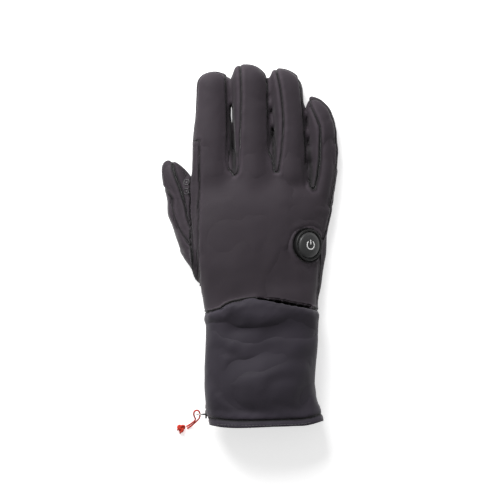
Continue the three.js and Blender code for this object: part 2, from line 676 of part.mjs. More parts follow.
// The height of the cloth at the button, found on the hand's own section.
function backHeight(x, y) {
  const s = handSection(y / PALM_LENGTH, 0);
  const u = Math.abs(x - s.x) / (x > s.x ? s.right : s.left);
  return s.z + s.up * (1 - u ** s.squareAbove) ** (1 / s.squareAbove) + ROLL * s.rolled * (s.x - x);
}
const buttonX = PALM_AXIS_X + PALM_HALF * BUTTON.across;
const buttonY = PALM_LENGTH * BUTTON.along;
const buttonPlace = new THREE.Matrix4()
  .makeTranslation(buttonX, buttonY, backHeight(buttonX, buttonY))
  .multiply(buttonTurn);

const ringInner = RING_RADIUS - RING_WIDTH;
const capRadius = ringInner - SEAM_GAP;
const capFoot = RING_PROUD - CAP_THICK;
const ringFloor = capFoot - CAP_TRAVEL - SEAM_GAP;
const ringProfile = [
  [0, RING_PROUD - RING_DEPTH],
  [RING_RADIUS, RING_PROUD - RING_DEPTH],
  [RING_RADIUS, RING_PROUD - RING_CHAMFER],
  [RING_RADIUS - RING_CHAMFER, RING_PROUD],
  [ringInner, RING_PROUD],
  [ringInner, ringFloor],
  [0, ringFloor],
];
const capEdge = RING_PROUD - CAP_SUNK;
const capProfile = [[0, capFoot], [capRadius, capFoot], [capRadius, capEdge]];
const CAP_STEPS = 3;
for (let i = 1; i <= CAP_STEPS; i += 1) {
  const angle = (Math.PI / 2) * (i / CAP_STEPS);
  capProfile.push([capRadius * Math.cos(angle), capEdge + CAP_DOME * Math.sin(angle)]);
}
capProfile[capProfile.length - 1][0] = 0;
const BUTTON_SIDES = 20;
const buttonHole = solid(turned([
  [0, -BUTTON_HOLE_DEPTH / 2],
  [RING_RADIUS + SEAM_GAP, -BUTTON_HOLE_DEPTH / 2],
  [RING_RADIUS + SEAM_GAP, BUTTON_HOLE_DEPTH / 2],
  [0, BUTTON_HOLE_DEPTH / 2],
], BUTTON_SIDES).applyMatrix4(buttonPlace));

// The zip's slider stands at the thumb's end of the zip.
const zipEndX = GAUNTLET_AXIS_X + GAUNTLET_HALF * SLIDER_PLACE.across;
const zipEndY = GAUNTLET_LENGTH * SLIDER_PLACE.along;
const sliderFace = zipEndX - SLIDER_PROUD;
const slider = {
  low: [sliderFace, zipEndY - SLIDER_LENGTH / 2, SLIDER_Z - SLIDER_WIDTH / 2],
  high: [sliderFace + SLIDER_THICK, zipEndY + SLIDER_LENGTH / 2, SLIDER_Z + SLIDER_WIDTH / 2],
};
const sliderRoom = block(
  [slider.low[0] - SLIDER_ROOM, slider.low[1] - SEAM_GAP, slider.low[2] - SEAM_GAP],
  slider.high.map((v) => v + SEAM_GAP),
);

// The gauntlet, the zip's tape inside its edge, and the hem band
const GAUNTLET_FROM = -0.06;
const GAUNTLET_TO = 1.04;
const GAUNTLET_SIDES = 28;
const GAUNTLET_STEPS = 18;
const gauntletStations = Array.from(
  { length: GAUNTLET_STEPS + 1 },
  (_, i) => THREE.MathUtils.lerp(GAUNTLET_FROM, GAUNTLET_TO, i / GAUNTLET_STEPS),
).reverse();
const gauntletLoft = (inset, sides = GAUNTLET_SIDES - 12) => (
  loft(gauntletSection, gauntletStations, sides, inset)
);
const gauntletOuter = gauntletLoft(0, GAUNTLET_SIDES).subtract(floorBlock);
const gauntletInner = gauntletLoft(CLOTH).subtract(floorUnderCloth);
const gauntletShell = gauntletOuter.subtract(gauntletInner)
  .subtract(beyond(wristLine, -SEAM_GAP / 2))
  .intersect(beyond(hemLine, 0))
  .subtract(sliderRoom);

// Between the gauntlet and the hem band: the zip's slit over the back, a plain seam under the palm.
const slit = beyond(zipLine, 0).subtract(beyond(zipLine, -ZIP_SLIT));
const underSeam = beyond(zipLine, -ZIP_SLIT / 2 + SEAM_GAP / 2)
  .subtract(beyond(zipLine, -ZIP_SLIT / 2 - SEAM_GAP / 2));
const backHalf = block([-FAR, -FAR, SLIDER_Z], [FAR, FAR, ABOVE_ALL]);
const parting = slit.intersect(backHalf).add(underSeam);
const tapeStart = SEAM_GAP + CLOTH;
const tape = gauntletLoft(tapeStart)
  .subtract(gauntletLoft(tapeStart + ZIP_TAPE_THICK))
  .intersect(beyond(zipLine, (-ZIP_SLIT - ZIP_TAPE_WIDTH) / 2))
  .subtract(beyond(zipLine, (-ZIP_SLIT + ZIP_TAPE_WIDTH) / 2))
  .intersect(block([-FAR, -FAR, SLIDER_Z + SEAM_GAP], [FAR, FAR, ABOVE_ALL]))
  .intersect(beyond(hemLine, SEAM_GAP))
  .subtract(sliderRoom);

function wireRing(radius, wire, arc) {
  return new THREE.TorusGeometry(radius, wire, 6, 16, arc);
}

const ear = wireRing(EAR_RADIUS, EAR_WIRE).translate(sliderFace, zipEndY, SLIDER_Z);
const sliderSolid = block(slider.low, slider.high)
  .add(solid(ear).subtract(block(
    [sliderFace + EAR_WIRE, -FAR, BELOW_ALL],
    [FAR, FAR, ABOVE_ALL],
  )));
const bailX = sliderFace - EAR_RADIUS + EAR_WIRE + BAIL_WIRE + SEAM_GAP - BAIL_RADIUS;
const bailPlace = [bailX, zipEndY, SLIDER_Z];
const bail = wireRing(BAIL_RADIUS, BAIL_WIRE).rotateX(Math.PI / 2).translate(...bailPlace);

// The cord and its knot
const cordPoints = CORD_ROUTE.map((p) => new THREE.Vector3(...p.map((v, i) => v + bailPlace[i])));
const cordCurve = new THREE.CatmullRomCurve3(cordPoints);
const CORD_STEPS = 32;
const CORD_SIDES = 8;
function cordAlong(path, steps) {
  const circle = Array.from({ length: CORD_SIDES }, (_, i) => new THREE.Vector2(
    (CORD_DIAMETER / 2) * Math.cos((2 * Math.PI * i) / CORD_SIDES),
    (CORD_DIAMETER / 2) * Math.sin((2 * Math.PI * i) / CORD_SIDES),
  ));
  const shape = new THREE.Shape(circle);
  return solid(new THREE.ExtrudeGeometry(shape, { steps, extrudePath: path, bevelEnabled: false }));
}

// The knot: two lobes beside the cord's ends, and its two short ends, in shares of the knot's radius.
const KNOT_LOBES = [
  { across: -1.23, along: 0.16, radius: 1 },
  { across: -0.7, along: -0.39, radius: 0.72 },
];
const KNOT_ENDS = [
  { across: -2.65, along: -1.35 },
  { across: -1.87, along: -1.87 },
];
const knotAt = cordPoints[0].clone().add(cordPoints[cordPoints.length - 1]).multiplyScalar(0.5);
const nearKnot = (across, along, z) => new THREE.Vector3(
  knotAt.x + KNOT_RADIUS * across,
  knotAt.y + KNOT_RADIUS * along,
  z,
);
function knotSolid() {
  const lobe = (row) => {
    const radius = KNOT_RADIUS * row.radius;
    const at = nearKnot(row.across, row.along, radius);
    return solid(new THREE.SphereGeometry(radius, 10, 6).translate(at.x, at.y, at.z));
  };
  const end = (row) => cordAlong(new THREE.LineCurve3(
    nearKnot(KNOT_LOBES[0].across, KNOT_LOBES[1].along, KNOT_RADIUS * KNOT_LOBES[1].radius),
    nearKnot(row.across, row.along, CORD_DIAMETER),
  ), 1);
  return [...KNOT_LOBES.map(lobe), ...KNOT_ENDS.map(end)].reduce((all, piece) => all.add(piece));
}

// Each piece as a named mesh
const glove = new THREE.Group();
function add(name, form, material) {
  const { vertProperties, triVerts } = form.getMesh();
  const geometry = new THREE.BufferGeometry()
    .setAttribute('position', new THREE.BufferAttribute(vertProperties, 3))
    .setIndex(new THREE.BufferAttribute(triVerts, 1));
  geometry.computeVertexNormals();
  const mesh = new THREE.Mesh(geometry, material);
  mesh.name = name;
  glove.add(mesh);
}

let panels = handShell.subtract(buttonHole);
for (const g of GUSSETS) {
  add(g.name, handShell.intersect(gussetPrism(g, 0)), materials.softshell);
  panels = panels.subtract(gussetPrism(g, SEAM_GAP));
}
add('back_panel', panels.subtract(belowSideSeam(SEAM_GAP)), materials.softshell);
add('palm_panel', panels.intersect(belowSideSeam(0)), materials.grip);

const thumbLine = (seam) => smoothLine(seam.map(({ along, across }) => [
  thumbAxis(Math.min(along, 1)) + across * THUMB_HALF,
  thumbRootY + THUMB_LENGTH * along,
]), SEAM_STEPS);
const underThumb = (lift) => block([-FAR, -FAR, BELOW_ALL], [FAR, FAR, THUMB_HEIGHT / 3 + lift]);
function grip(grow) {
  const line = moved(thumbLine(THUMB_GRIP_SEAM), -grow);
  return prism([...line, [FAR, line[line.length - 1][1]], [FAR, line[0][1]]]).add(underThumb(grow));
}
function strip(grow) {
  const line = moved(thumbLine(THUMB_STRIP_SEAM), grow);
  return prism([...line, [line[line.length - 1][0], -FAR], [-FAR, -FAR], [-FAR, line[0][1]]]);
}
add('thumb_grip', thumbShell.intersect(grip(0)), materials.grip);
add('thumb_strip', thumbShell.intersect(strip(0)).subtract(grip(SEAM_GAP)), materials.softshell);
add('thumb_back', thumbShell.subtract(grip(SEAM_GAP)).subtract(strip(SEAM_GAP)), materials.softshell);

const parted = gauntletShell.subtract(parting);
const aboveZip = beyond(zipLine, -ZIP_SLIT / 2);
add('gauntlet', parted.intersect(aboveZip), materials.gauntlet);
add('hem_band', parted.subtract(aboveZip), materials.gauntlet);
add('zip', tape, materials.zip);
add('zip_slider', sliderSolid, materials.zip);
add('zip_bail', solid(bail), materials.metal);
add('button_ring', solid(turned(ringProfile, BUTTON_SIDES).applyMatrix4(buttonPlace)), materials.plastic);
add('button_cap', solid(turned(capProfile, BUTTON_SIDES).applyMatrix4(buttonPlace)), materials.button);
add('pull_cord', cordAlong(cordCurve, CORD_STEPS), materials.cord);
add('cord_knot', knotSolid(), materials.cord);

// The origin is the middle of the glove's underside, without its cord.
const box = new THREE.Box3();
for (const mesh of glove.children) {
  if (mesh.name !== 'pull_cord' && mesh.name !== 'cord_knot') box.expandByObject(mesh);
}
const middle = box.getCenter(new THREE.Vector3());
glove.position.set(-middle.x, -middle.y, -box.min.z);

const part = new THREE.Group();
part.add(glove);
export default part;
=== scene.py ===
# The finish of a right-hand heated winter glove that lies on its palm: lined softshell sewn from
# panels, a push button on the back of the hand, and a zipped hem with a knotted pull cord.
# Metres, in the part's own frame: +Y to the fingertips, +Z out of the back of the hand.
import math
from typing import NamedTuple

import bmesh
import bpy
import numpy as np
from mathutils import Matrix, Vector, noise
from mathutils.bvhtree import BVHTree
from mathutils.kdtree import KDTree


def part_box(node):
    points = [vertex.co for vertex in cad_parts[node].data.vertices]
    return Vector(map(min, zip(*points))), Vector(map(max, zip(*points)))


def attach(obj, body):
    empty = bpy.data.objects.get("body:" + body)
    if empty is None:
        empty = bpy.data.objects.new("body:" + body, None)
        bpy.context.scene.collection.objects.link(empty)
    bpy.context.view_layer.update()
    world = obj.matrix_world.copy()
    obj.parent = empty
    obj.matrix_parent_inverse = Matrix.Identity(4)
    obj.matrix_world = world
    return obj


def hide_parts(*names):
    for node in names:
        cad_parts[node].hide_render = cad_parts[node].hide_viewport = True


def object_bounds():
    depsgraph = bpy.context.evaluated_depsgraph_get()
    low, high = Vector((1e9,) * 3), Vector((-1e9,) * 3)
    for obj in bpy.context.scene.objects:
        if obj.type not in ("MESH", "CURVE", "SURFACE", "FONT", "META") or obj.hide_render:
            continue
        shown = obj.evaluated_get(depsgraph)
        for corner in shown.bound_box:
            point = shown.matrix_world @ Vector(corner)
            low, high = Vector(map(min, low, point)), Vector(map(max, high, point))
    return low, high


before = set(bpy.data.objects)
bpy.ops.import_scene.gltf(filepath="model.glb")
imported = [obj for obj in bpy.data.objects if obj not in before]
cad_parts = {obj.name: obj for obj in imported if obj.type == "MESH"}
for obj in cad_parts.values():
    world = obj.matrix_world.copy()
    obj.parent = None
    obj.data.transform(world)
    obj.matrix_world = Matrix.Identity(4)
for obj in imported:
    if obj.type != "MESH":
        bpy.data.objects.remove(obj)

MM = 0.001
CAD_BOX = [list(corner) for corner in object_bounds()]
scene = bpy.context.scene

# The photograph's frame: how wide it is at the glove, and the glove's middle in it.
PHOTO_PIXELS = 500
PIXEL = 0.77 * MM
VIEW_CENTRE_Y = -4.4 * PIXEL
LENS = 300
SENSOR = 36
GLOVE_MID_HEIGHT = 26 * MM


def link(obj):
    scene.collection.objects.link(obj)
    return obj


def add_camera():
    """A camera straight above the glove, with a long lens."""
    data = bpy.data.cameras.new("camera")
    data.lens = LENS
    data.sensor_width = SENSOR
    data.clip_end = 20
    camera = link(bpy.data.objects.new("camera", data))
    distance = PHOTO_PIXELS * PIXEL * LENS / SENSOR
    camera.location = (0, VIEW_CENTRE_Y, GLOVE_MID_HEIGHT + distance)
    scene.camera = camera


add_camera()


# Shader maths


class Socket:
    """A shader socket that arithmetic adds Math nodes to."""

    def __init__(self, shader, socket):
        self.shader = shader
        self.socket = socket

    def math(self, operation, a, b):
        return self.shader.node("ShaderNodeMath", {"operation": operation}, {0: a, 1: b})["Value"]

    def __add__(self, other):
        return self.math("ADD", self, other)

    def __sub__(self, other):
        return self.math("SUBTRACT", self, other)

    def __mul__(self, other):
        return self.math("MULTIPLY", self, other)

    __radd__ = __add__
    __rmul__ = __mul__


class Outputs:
    """The outputs of a node, by name."""

    def __init__(self, shader, node):
        self.shader = shader
        self.node = node

    def __getitem__(self, name):
        return Socket(self.shader, self.node.outputs[name])


class Finish:
    """A material with one Principled shader."""

    def __init__(self, name, **constants):
        self.material = bpy.data.materials.new(name)
        self.material.use_nodes = True
        self.tree = self.material.node_tree
        self.shader = self.tree.nodes["Principled BSDF"]
        for socket, value in constants.items():
            self.shader.inputs[socket.replace("_", " ")].default_value = value

    def node(self, kind, settings=None, values=None):
        node = self.tree.nodes.new(kind)
        for name, value in (settings or {}).items():
            setattr(node, name, value)
        for socket, value in (values or {}).items():
            self.feed(node.inputs[socket], value)
        return Outputs(self, node)

    def feed(self, target, value):
        if isinstance(value, Socket):
            self.tree.links.new(value.socket, target)
        else:
            target.default_value = value

    def place(self):
        return self.node("ShaderNodeTexCoord")["Object"]

    def noise(self, scale, detail=2.0, roughness=0.5):
        values = {"Vector": self.place(), "Scale": scale, "Detail": detail, "Roughness": roughness}
        return self.node("ShaderNodeTexNoise", None, values)["Fac"]

    def wave(self, scale, turn):
        where = self.node("ShaderNodeMapping", None, {"Vector": self.place(), "Rotation": (0, 0, turn)})
        values = {"Vector": where["Vector"], "Scale": scale, "Distortion": 0.0, "Detail": 0.0}
        return self.node("ShaderNodeTexWave", None, values)["Fac"]

    def mix(self, share, dark, light):
        values = {0: share, 6: dark, 7: light}
        node = self.node("ShaderNodeMix", {"data_type": "RGBA"}, values)
        return Socket(self, node.node.outputs[2])

    def set(self, socket, value):
        self.feed(self.shader.inputs[socket], value)

    def bump(self, height, strength, distance):
        values = {"Height": height, "Strength": strength, "Distance": distance}
        self.set("Normal", self.node("ShaderNodeBump", None, values)["Normal"])


def grey(level, red=1.0, green=1.0, blue=1.0):
    return (level * red, level * green, level * blue, 1)


def clamped(finish, value):
    return finish.node("ShaderNodeClamp", None, {"Value": value})["Result"]


def attribute_of(finish, name):
    return finish.node("ShaderNodeAttribute", {"attribute_name": name})["Fac"]


def cloth_finish(name, level, tint, sheen, weave):
    """Brushed softshell: a fine twill under short fibres, with painted shade in its seam grooves, folds and
    finger slits, and a painted highlight on the swell beside each seam.
    """
    f = Finish(name, Sheen_Weight=sheen, Sheen_Roughness=0.45, Specular_IOR_Level=0.35)
    # The first attribute read here is painted shade in seam grooves, folds and finger slits. The second is
    # a painted highlight on the swell beside each seam.
    seam = attribute_of(f, "seam")
    painted_highlight = attribute_of(f, "painted_highlight")
    cloud = f.noise(26, 4.0)
    fibre = f.noise(900, 3.0, roughness=0.7)
    twill = f.wave(420, math.radians(38)) * f.wave(420, math.radians(-52))
    # The share of the lighter colour: random cloud and fibre tone, raised by the painted highlight beside
    # seams and lowered by the painted shade.
    light = clamped(f, cloud * 0.5 + fibre * 0.35 + painted_highlight * 0.5 - seam * 0.75)
    cloth = f.mix(light, grey(level * 0.62, *tint), grey(level * 1.3, *tint))
    # Painted shade: the colour is pulled towards near black in seam grooves, folds and finger slits.
    f.set("Base Color", f.mix(seam * 0.8, cloth, grey(level * 0.15)))
    f.set("Roughness", 0.62 + fibre * 0.25)
    f.bump(fibre * 0.6 + twill * weave + cloud * 0.2, 0.35, 0.12 * MM)
    return f.material


def plastic_finish(name, level, roughness, grain):
    """Moulded plastic, rubber or enamelled metal with a fine grain and faint handling marks."""
    f = Finish(name, Metallic=0.0, Specular_IOR_Level=0.5)
    cloud = f.noise(160, 3.0)
    fine = f.noise(grain, 2.0)
    f.set("Base Color", f.mix(cloud, grey(level * 0.85), grey(level * 1.15, 1.0, 1.02, 1.05)))
    f.set("Roughness", roughness + cloud * 0.12)
    f.bump(fine, 0.12, 0.05 * MM)
    return f.material


def wire_finish():
    f = Finish("bright_wire", Metallic=1.0)
    drawn = f.noise(1800, 2.0)
    f.set("Base Color", f.mix(drawn, (0.4, 0.4, 0.38, 1), (0.62, 0.61, 0.58, 1)))
    f.set("Roughness", 0.22 + drawn * 0.2)
    f.bump(drawn, 0.1, 0.03 * MM)
    return f.material


def cord_finish(name, braid):
    """A red orange cord with a fine diagonal braid, with painted shade between its strands."""
    f = Finish(name, Sheen_Weight=0.3, Sheen_Roughness=0.4, Specular_IOR_Level=0.3)
    strand = f.wave(braid, math.radians(35)) * f.wave(braid, math.radians(-55))
    fuzz = f.noise(1500, 2.0)
    light = clamped(f, strand * 0.55 + fuzz * 0.6)
    # Painted shade: the colour is darker between the braid's strands.
    f.set("Base Color", f.mix(light, (0.46, 0.012, 0.012, 1), (0.92, 0.085, 0.03, 1)))
    f.set("Roughness", 0.62 + fuzz * 0.2)
    f.bump(strand + fuzz * 0.4, 0.6, 0.12 * MM)
    return f.material


def mark_finish():
    f = Finish("printed_mark", Specular_IOR_Level=0.4)
    worn = f.noise(700, 3.0)
    f.set("Base Color", f.mix(worn, (0.72, 0.72, 0.72, 1), (0.9, 0.9, 0.9, 1)))
    f.set("Roughness", 0.45 + worn * 0.2)
    return f.material


def floor_finish():
    f = Finish("pale_floor", Roughness=0.9, Specular_IOR_Level=0.1,
               Emission_Color=(1, 1, 1, 1), Emission_Strength=0.6)
    f.set("Base Color", f.mix(f.noise(3, 2.0), (0.93, 0.93, 0.93, 1), (0.95, 0.95, 0.95, 1)))
    return f.material


WARM = (1.13, 0.85, 1.11)
COOL = (1.04, 0.85, 1.24)
finishes = {
    "softshell": cloth_finish("softshell_cloth", 0.0295, WARM, 0.12, 0.25),
    "palm_cloth": cloth_finish("grip_cloth", 0.026, WARM, 0.08, 0.6),
    "gauntlet_cloth": cloth_finish("gauntlet_cloth", 0.028, COOL, 0.12, 0.25),
    "zip_nylon": plastic_finish("zip_nylon", 0.012, 0.5, 2200),
    "slider_metal": plastic_finish("slider_enamel", 0.014, 0.3, 900),
    "ring_plastic": plastic_finish("ring_plastic", 0.008, 0.46, 1400),
    "button_rubber": plastic_finish("button_rubber", 0.04, 0.36, 1600),
    "silicone": plastic_finish("grip_silicone", 0.03, 0.22, 600),
    "thread": plastic_finish("sewing_thread", 0.1, 0.6, 1500),
    "bail_wire": wire_finish(),
    "cord": cord_finish("red_cord", 900),
    "mark": mark_finish(),
}


# Pieces


def piece(name, mesh, finish, replaced=(), body="glove"):
    """A finished mesh as a piece of the glove that rides on a body."""
    obj = link(bpy.data.objects.new(name, mesh))
    if not mesh.materials:
        mesh.materials.append(finishes[finish])
    mesh.shade_smooth()
    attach(obj, body)
    if replaced:
        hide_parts(*replaced)
    return obj


def mesh_of(bm, name):
    bmesh.ops.recalc_face_normals(bm, faces=bm.faces)
    mesh = bpy.data.meshes.new(name)
    bm.to_mesh(mesh)
    bm.free()
    return mesh


def middle(node):
    low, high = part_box(node)
    return (low + high) / 2


def tube_mesh(name, points, radius, closed=False):
    """A round tube along points, as a mesh."""
    curve = bpy.data.curves.new(name, "CURVE")
    curve.dimensions = "3D"
    curve.bevel_depth = radius
    curve.bevel_resolution = 3
    curve.use_fill_caps = True
    spline = curve.splines.new("NURBS")
    spline.points.add(len(points) - 1)
    for target, point in zip(spline.points, points):
        target.co = (*point, 1)
    spline.order_u = 4
    spline.use_endpoint_u = not closed
    spline.use_cyclic_u = closed
    spline.resolution_u = 4
    obj = bpy.data.objects.new(name, curve)
    mesh = bpy.data.meshes.new_from_object(obj)
    bpy.data.objects.remove(obj)
    return mesh


# The pull cord: doubled, from the knot on the ground up through the bail and back. Its points are
# counted from the middle of the bail, in millimetres.
CORD_ROUTE = [
    (-10.3, -11.7, -16.1), (-8.4, -10.5, -16.0), (-6.3, -8.9, -14.9), (-4.3, -7.1, -12.4),
    (-2.5, -5.3, -9.2), (-1.2, -3.8, -6.0), (-0.5, -2.4, -3.0), (-0.2, -0.9, -0.9),
    (-0.3, 0.9, 0.4), (-1.1, 2.5, 1.0), (-2.6, 3.1, 1.2), (-4.2, 2.4, 0.8),
    (-4.9, 0.6, -0.2), (-4.7, -1.3, -1.9), (-4.1, -2.8, -4.4), (-3.8, -4.1, -7.4),
    (-4.5, -5.5, -10.6), (-6.2, -7.0, -13.6), (-8.3, -8.6, -15.5), (-10.9, -10.1, -16.1),
]
CORD_DIAMETER = 1.3 * MM
bail_middle = middle("zip_bail")


def add_cord():
    """The cord as one curve, with its knot as a separate piece on it."""
    curve = bpy.data.curves.new("red_pull_cord", "CURVE")
    curve.dimensions = "3D"
    curve.bevel_depth = CORD_DIAMETER / 2
    curve.bevel_resolution = 3
    curve.use_fill_caps = True
    spline = curve.splines.new("BEZIER")
    spline.bezier_points.add(len(CORD_ROUTE) - 1)
    for target, place in zip(spline.bezier_points, CORD_ROUTE):
        target.co = bail_middle + Vector(place) * MM
        target.handle_left_type = target.handle_right_type = "AUTO"
    spline.resolution_u = 8
    curve.materials.append(finishes["cord"])
    cord = link(bpy.data.objects.new("red_pull_cord", curve))
    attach(cord, "glove")
    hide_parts("pull_cord")
    knot = add_knot()


KNOT_SIZE = 2.7 * MM
KNOT_STRAND = 0.95 * MM
KNOT_STEPS = 42


def add_knot():
    """An overhand knot pulled tight, with the cord's two short ends."""
    low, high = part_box("cord_knot")
    centre = Vector((high.x - 4.3 * MM, high.y - 4.0 * MM, low.z + 2.4 * MM))
    turns = [2 * math.pi * i / KNOT_STEPS for i in range(KNOT_STEPS)]
    trefoil = [centre + KNOT_SIZE * Vector((
        (math.sin(t) + 2 * math.sin(2 * t)) / 3,
        (math.cos(t) - 2 * math.cos(2 * t)) / 3,
        -0.42 * math.sin(3 * t),
    )) for t in turns]
    bm = bmesh.new()
    bm.from_mesh(tube_mesh("knot_strand", trefoil, KNOT_STRAND, closed=True))
    core = bmesh.ops.create_uvsphere(bm, u_segments=16, v_segments=10, radius=KNOT_SIZE * 0.62)
    bmesh.ops.scale(bm, vec=(1, 1, 0.75), verts=core["verts"])
    bmesh.ops.translate(bm, vec=centre, verts=core["verts"])
    ends = [Vector((low.x + 1.2 * MM, low.y + 4.2 * MM, low.z + 1.0 * MM)),
            Vector((low.x + 3.4 * MM, low.y + 1.6 * MM, low.z + 1.0 * MM))]
    for end in ends:
        start = centre.lerp(end, 0.2)
        bend = centre.lerp(end, 0.65) + Vector((0.2, 0.1, 0.5)) * MM
        bm.from_mesh(tube_mesh("knot_end", [start, start.lerp(bend, 0.6), bend, end], CORD_DIAMETER / 2))
    return piece("cord_overhand_knot", mesh_of(bm, "cord_overhand_knot"), "cord", ["cord_knot"])


add_cord()


# The cloth: every panel fused into one skin, smoothed, folded, and cut again along the seams

PANELS = {
    "back_panel": "softshell",
    "palm_panel": "palm_cloth",
    "fourchette_index_middle": "softshell",
    "fourchette_middle_ring": "softshell",
    "fourchette_ring_little": "softshell",
    "thumb_back": "softshell",
    "thumb_strip": "softshell",
    "thumb_grip": "palm_cloth",
    "gauntlet": "gauntlet_cloth",
    "hem_band": "gauntlet_cloth",
}
HARD = ["zip", "zip_slider", "button_ring"]
LABELS = [*PANELS, *HARD]
HAND = ["back_panel", "palm_panel"]
THUMB = ["thumb_back", "thumb_strip", "thumb_grip"]

VOXEL = 1.1 * MM
OVERLAP = 0.3 * MM
CLOTH_THICKNESS = 1.5 * MM
SEAM_REACH = 14 * MM
SMOOTH_ROUNDS = 26
MOUTH_Y = -130 * MM
MOUTH_REACH = 20 * MM
RIM_CUT = 1.8 * MM
RIM_LEFT = 0.2 * MM
RIM_ROUNDS = 9
KNUCKLES_Y = 50
KNUCKLES_REACH = 26
SEAM_ROUNDS = 6
BESIDE_ROUNDS = 3
BESIDE = 3.0
CARRIED_ROUNDS = 22
GROUND_CLEAR = 0.1 * MM
THIN_RIM = 2.5 * MM
EVEN_RIM = 4 * MM


class Seam(NamedTuple):
    """How cloth goes down into a seam and swells beside it, in millimetres, and how strong the painted
    shade in its groove and the painted highlight beside it are.
    """

    depth: float
    groove: float
    swell: float
    swell_at: float
    dark: float


SEWN = Seam(0.85, 1.1, 0.3, 2.9, 1.0)
SEAMS = {
    "wrist_over": Seam(1.2, 1.3, 1.1, 5.5, 0.8),
    "wrist_under": Seam(1.2, 1.7, 0.0, 4.0, 0.9),
    "thumb_root": Seam(1.8, 1.7, 0.2, 3.4, 1.0),
    "button": Seam(1.5, 2.2, 0.5, 4.8, 1.0),
    "zip": Seam(1.0, 1.1, 0.3, 2.8, 1.0),
    "edge": Seam(0.5, 1.0, 0.25, 2.4, 0.6),
}


def seam_of(panel, other):
    """The kind of seam that a panel has where it meets another piece."""
    if other == "button_ring":
        return SEAMS["button"]
    if other in HARD:
        return SEAMS["zip"]
    if "gauntlet" in (panel, other) and set((panel, other)) & set(HAND):
        return SEAMS["wrist_over"] if panel == "gauntlet" else SEAMS["wrist_under"]
    if (panel in THUMB) != (other in THUMB):
        return SEAMS["thumb_root"]
    if set((panel, other)) == set(HAND):
        return SEAMS["edge"]
    return SEWN


class Fold(NamedTuple):
    """A valley in plan, or a ridge if it rises: the points it runs through, how far it reaches to
    its left and to its right, and its rise. Millimetres."""

    through: tuple
    left: float
    right: float
    rise: float


FOLDS = [
    # The deep valley under the gauntlet's rim, right across it
    Fold(((-34, -58), (-23, -63), (-14, -68), (-2, -70), (9, -68), (19, -65.5), (31, -66), (42, -68),
          (54, -67)), 5.5, 4.5, -2.4),
    Fold(((-29, -61), (-14, -66.5), (1, -68.5), (8, -67)), 3.4, 3.0, -2.3),
    Fold(((40, -66), (47, -68), (56, -67)), 3.5, 2.5, -1.2),
    Fold(((-26, -79), (-18, -83), (-9, -85)), 3.5, 2.4, -0.9),
    # The valley that arches over the middle of the gauntlet, and the bulge below it
    Fold(((-18, -108), (-17, -103), (-13, -97.5), (-8, -94), (0, -92), (9, -91.5), (19, -88), (30, -86),
          (44, -86)), 6.5, 6.5, -3.2),
    Fold(((-14, -92), (-4, -89), (10, -88)), 4.2, 3.4, -1.6),
    Fold(((12, -107), (18, -104), (25, -101), (42, -103)), 5.0, 4.6, -1.0),
    Fold(((-34, -98), (-29, -104), (-26, -111)), 3.4, 3.4, -0.9),
    # Towards the hem
    Fold(((-24, -113), (-17, -119), (-9, -124), (2, -127)), 4.6, 3.0, -1.4),
    Fold(((56, -105), (46, -112), (41, -118), (39, -125)), 5.0, 7.0, -2.2),
    Fold(((14, -121), (26, -123), (38, -124)), 4.0, 2.6, -0.6),
    Fold(((-31, -126.5), (-8, -128.5), (19, -128)), 2.6, 1.8, -0.7),
    # The back of the hand
    Fold(((-44, 10), (-10, 8), (12, 9), (36, 14)), 22.0, 18.0, -1.5),
    Fold(((28, 51), (36, 47), (44, 45)), 3.6, 3.0, -1.7),
    Fold(((50, 44), (56, 37), (64, 31)), 3.0, 2.0, -1.6),
    Fold(((50, 30), (58, 27), (66, 25)), 3.0, 3.0, 0.6),
    Fold(((28, 30), (40, 25), (50, 21)), 3.6, 3.6, -0.8),
    Fold(((32, -14), (40, -17), (50, -18)), 2.2, 2.6, -1.2),
    Fold(((-41, -6), (-39, -20), (-34, -34)), 3.0, 3.0, -0.5),
    # The fingers
    Fold(((-43, 80), (-35, 70), (-24, 60)), 3.2, 1.6, -0.8),
    Fold(((-37, 124), (-33, 117)), 1.4, 1.4, -0.5),
    Fold(((3, 115), (12.5, 109)), 1.8, 1.8, -0.7),
    Fold(((16, 92), (24, 84)), 2.4, 2.4, -0.4),
    Fold(((56, 76), (62, 79), (69, 83)), 3.0, 2.2, -1.5),
    Fold(((55, 62), (61, 59), (69, 55)), 2.6, 2.6, -1.3),
    Fold(((58, 96), (66, 100)), 2.4, 2.0, -0.7),
    # The slits between the fingers, down to their crotches
    Fold(((-13.2, 77), (-12.6, 70), (-12.3, 63), (-12.2, 55)), 1.8, 1.8, -1.8),
    Fold(((18.4, 78), (18.6, 71), (19.0, 65), (19.2, 57)), 1.8, 1.8, -1.8),
    Fold(((46.1, 64), (46.4, 57), (46.8, 51), (47.0, 44)), 1.8, 1.8, -1.8),
    # The thumb
    Fold(((-66, 44), (-59, 38)), 2.2, 1.8, -0.9),
    Fold(((-57, -3), (-46, -6), (-39, -7)), 2.0, 2.4, -1.6),
    Fold(((-50, -16), (-42, -22)), 2.4, 2.4, -1.0),
]


class Slope(NamedTuple):
    """Cloth that falls away on the right of a line in plan: how wide the slope is, and its drop."""

    through: tuple
    wide: float
    drop: float


SLOPE_END = 12.0
SLOPES = [
    Slope(((27, 4), (18, -11), (12, -22), (8, -34), (2, -46)), 26.0, 4.0),
    Slope(((30, 60), (28, 48), (30, 34)), 22.0, 2.0),
]

